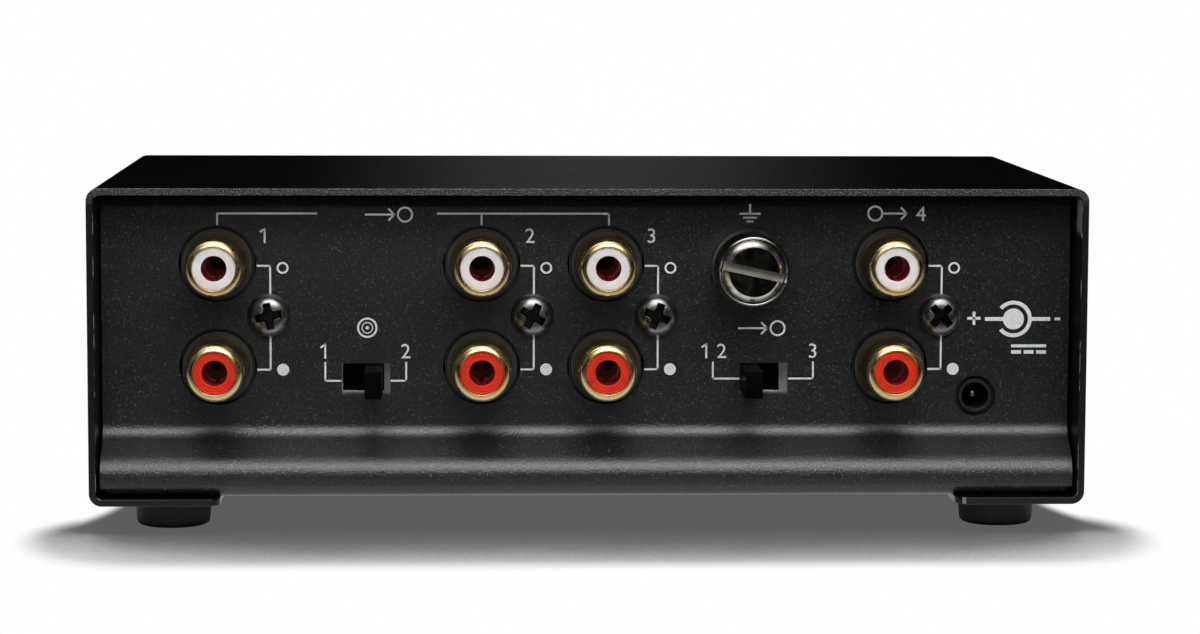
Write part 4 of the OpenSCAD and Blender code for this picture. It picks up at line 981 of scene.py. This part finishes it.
# A much darker copy of the nickel: painted shade on the knurled rim and on the washer behind the
# head
shaded_nickel = plated("shaded_nickel", (0.16, 0.155, 0.145), (0.09, 0.087, 0.08), 0.32)
milled_nickel = plated(
    "milled_nickel", (0.62, 0.60, 0.54), (0.42, 0.40, 0.36), 0.5, marks=0.15 * mm)
tinned_metal = plated("tinned_metal", (0.62, 0.60, 0.55), (0.5, 0.47, 0.42), 0.3)
thumb_r, knurl_depth, knurl_count, knurl_turn, knurl_steepness = 5.15, 0.25, 52, 30, 1.1
thumb_front, thumb_rim, thumb_back = -8.0, -7.0, -0.9
slot_w, slot_d, slot_turn = 1.2, 1.2, 12
boss_r, boss_flat_r, bead_axis_r, bead_r, shank_r, thumb_tip = 4.35, 3.5, 4.7, 0.15, 1.95, 9.2
knurl_root_r = thumb_r - knurl_depth
knurl_rings = (thumb_rim + 0.45, -5.0, -3.3, thumb_back - 0.3)
boss_foot = thumb_rim + 0.3
thumb_outline = (
    [(0.0, thumb_front), (boss_flat_r, thumb_front)]
    + [(boss_r, thumb_front + boss_r - boss_flat_r), (boss_r, boss_foot)]
    + [(bead_axis_r - bead_r, boss_foot)]
    + arc_points(bead_axis_r, thumb_rim + bead_r, bead_r, 180, 360, 10)
    + [(thumb_r, depth) for depth in knurl_rings]
    + [(knurl_root_r, thumb_back), (shank_r, thumb_back), (shank_r, thumb_tip - 0.3)]
    + [(shank_r - 0.3, thumb_tip), (0.0, thumb_tip)]
)
# The knurl: the rim is pressed in between its teeth and twisted towards the back
shape = bmesh.new()
turned(shape, thumb_outline, earth_x, earth_z, 4 * knurl_count)
for vertex in shape.verts:
    across, up = vertex.co.x - earth_x * mm, vertex.co.z - earth_z * mm
    radius = math.hypot(across, up)
    if radius > (knurl_root_r + 0.01) * mm:
        tooth = math.atan2(up, across) / (2 * math.pi) * knurl_count
        valley = abs(tooth - round(tooth)) * 2
        shrink = 1 - knurl_depth * mm * min(1, valley * knurl_steepness) / radius
        across *= shrink
        up *= shrink
    along = (vertex.co.y - (panel_face + thumb_rim * mm)) / ((thumb_back - thumb_rim) * mm)
    twist = Matrix.Rotation(math.radians(knurl_turn * min(1, max(0, along))), 2)
    twisted = twist @ Vector((across, up))
    vertex.co.x = earth_x * mm + twisted.x
    vertex.co.z = earth_z * mm + twisted.y
# The slot is sawn across the boss
cutter = bmesh.new()
bmesh.ops.create_cube(cutter, size=1)
bmesh.ops.scale(
    cutter, vec=(2.2 * boss_r * mm, 2 * slot_d * mm, slot_w * mm), verts=cutter.verts)
slot_angle = Matrix.Rotation(math.radians(slot_turn), 3, "Y")
bmesh.ops.rotate(cutter, cent=(0, 0, 0), matrix=slot_angle, verts=cutter.verts)
bmesh.ops.translate(
    cutter, vec=(earth_x * mm, panel_face + thumb_front * mm, earth_z * mm), verts=cutter.verts)
shape = cut_away(shape, cutter)
break_edges(shape, 0.05 * mm, sharp=38)
shade_rounds(shape, 25)
thumb_metals = [nickel_plate, milled_nickel, shaded_nickel, bevel_nickel]
slot_floor = panel_face + (thumb_front + slot_d) * mm
knurl_front = panel_face + (thumb_rim + 0.2) * mm
for face in shape.faces:
    middle = face.calc_center_median()
    from_axis = off_axis(middle, earth_x, earth_z)
    if abs(middle.y - slot_floor) < 0.02 * mm and face.normal.y < -0.9:
        face.material_index = thumb_metals.index(milled_nickel)
    elif from_axis > (knurl_root_r - 0.02) * mm and middle.y > knurl_front:
        face.material_index = thumb_metals.index(shaded_nickel)
    elif boss_flat_r * mm < from_axis < boss_r * mm and -0.9 < face.normal.y < -0.3:
        face.material_index = thumb_metals.index(bevel_nickel)
fitted("knurled_thumb_screw", shape, thumb_metals,
       "earth_screw", "nickel_plate", "earth_thumb_screw")
finished("earth_washer", shaded_nickel)
finished("earth_nut", nickel_plate)
finished("earth_lug", tinned_metal)

# ---------------------------------------------------------------- Slide switches
# A zinc-plated folded frame with a window, and a black moulded slider whose ribbed knob comes
# out through the panel. The base is brown paper laminate with riveted terminals.
knob_moulding = moulding(
    "knob_moulding", (0.0014, 0.0014, 0.0014), 0.08 * mm, 0.003 * mm, roughness=0.45, specular=0.06)
frame_plate = plated("frame_plate", (0.85, 0.84, 0.80), (0.60, 0.59, 0.56), 0.6)
# Painted light: a faint glow keeps the frame bright where it shows through the switch windows
painted_glow(frame_plate, (0.85, 0.84, 0.80), 0.04)
laminate = moulding("brown_laminate", (0.13, 0.055, 0.022), 0.1 * mm, 0.004 * mm, roughness=0.5)
for switch, body in (("cartridge_switch", "cartridge_selector"),
                     ("source_switch", "source_selector")):
    softened("ribbed_" + switch + "_knob", switch + "_slider", knob_moulding, body,
             "black_moulding", edge=0.07 * mm)
    softened("plated_" + switch + "_frame", switch + "_frame", frame_plate, "case",
             "zinc_steel", edge=0.09 * mm)
    finished(switch + "_base", laminate)
    finished(switch + "_terminals", tinned_metal)
    finished(switch + "_bridges", tinned_metal)

# ---------------------------------------------------------------- Power inlet
# A black moulded block behind the panel, whose round nose fills the panel's hole. A tinned
# pin is pressed in at the middle of its mouth.
inlet_moulding = moulding(
    "inlet_moulding", (0.010, 0.010, 0.010), 0.1 * mm, 0.004 * mm, roughness=0.38, specular=0.5)
softened("moulded_power_inlet", "power_inlet_body", inlet_moulding, "case", "black_moulding",
         edge=0.12 * mm, segments=3)
finished("power_inlet_pin", tinned_metal)

# ---------------------------------------------------------------- Feet
# Moulded rubber feet with rounded edges. A zinc-plated screw in the pocket of each one holds it
# and the cover to the tray. The screws of the fascia and of the board are plated alike.
rubber = moulding(
    "black_rubber", (0.006, 0.006, 0.006), 0.25 * mm, 0.01 * mm, roughness=0.6, specular=0.25)
for foot in ("rear_left_foot", "rear_right_foot", "front_left_foot", "front_right_foot"):
    softened("rubber_" + foot, foot, rubber, "case", "black_rubber", edge=0.12 * mm, smooth=30)
zinc_steel = plated("zinc_steel", (0.58, 0.58, 0.6), (0.48, 0.48, 0.5), 0.3)
for screws in ("foot_screws", "fascia_screws", "board_screws"):
    softened("zinc_" + screws, screws, zinc_steel, "case", "zinc_steel", edge=0.04 * mm)

# ---------------------------------------------------------------- Fascia and indicator
# A satin black moulded plate with a bevel around its face. A clear lens sits in it, flush but
# for its dome, and a domed light shines into the lens from behind.
fascia_moulding = moulding(
    "fascia_moulding", (0.009, 0.009, 0.0095), 0.18 * mm, 0.007 * mm, roughness=0.45, specular=0.4)
softened("moulded_fascia", "front_fascia", fascia_moulding, "case", "black_moulding",
         edge=0.15 * mm, sharp=20, segments=3)
clear_plastic, tree, shader = surface("clear_plastic", 0.08, specular=0.5)
shader.inputs["Transmission Weight"].default_value = 0.75
shader.inputs["IOR"].default_value = 1.49
tint(tree, shader, noise(tree, 1.5 * mm), [(0.3, (0.62, 0.74, 0.86)), (0.7, (0.78, 0.86, 0.93))])
emboss(tree, shader, noise(tree, 0.6 * mm), 0.003 * mm)
for node, piece in (("indicator_lens", "clear_indicator_lens"),
                    ("indicator_led", "domed_indicator_light")):
    shape = merged_shape(node)
    shade_rounds(shape, 30)
    fitted(piece, shape, [clear_plastic], "case", "clear_lens", node)

# ---------------------------------------------------------------- Board and components
# A green fibreglass board on four hexagonal standoffs carries the amplifier: chips, cans with
# printed sleeves, red box capacitors and tan resistors with bare ends.
green_board, tree, shader = surface("green_board", 0.35, specular=0.5)
tracks = noise(tree, 2.5 * mm, detail=1, stretch=(0.35, 1.6, 1))
tint(tree, shader, tracks, [
    (0.44, (0.010, 0.075, 0.030)), (0.46, (0.022, 0.15, 0.06)),
    (0.54, (0.022, 0.15, 0.06)), (0.56, (0.010, 0.075, 0.030))])
emboss(tree, shader, tracks, 0.03 * mm)
finished("main_board", green_board)
finished("board_standoffs", nickel_plate)
for node, finish, shade, grain, depth, roughness in (
        ("amplifier_chips", "black_epoxy", (0.014, 0.014, 0.015), 0.15, 0.008, 0.5),
        ("electrolytic_capacitors", "blue_sleeve", (0.012, 0.022, 0.075), 1.2, 0.01, 0.3),
        ("film_capacitors", "red_film_box", (0.30, 0.018, 0.018), 0.3, 0.006, 0.35),
        ("resistors", "tan_lacquer", (0.50, 0.36, 0.18), 0.4, 0.01, 0.35)):
    finished(node, moulding(finish, shade, grain * mm, depth * mm, roughness))
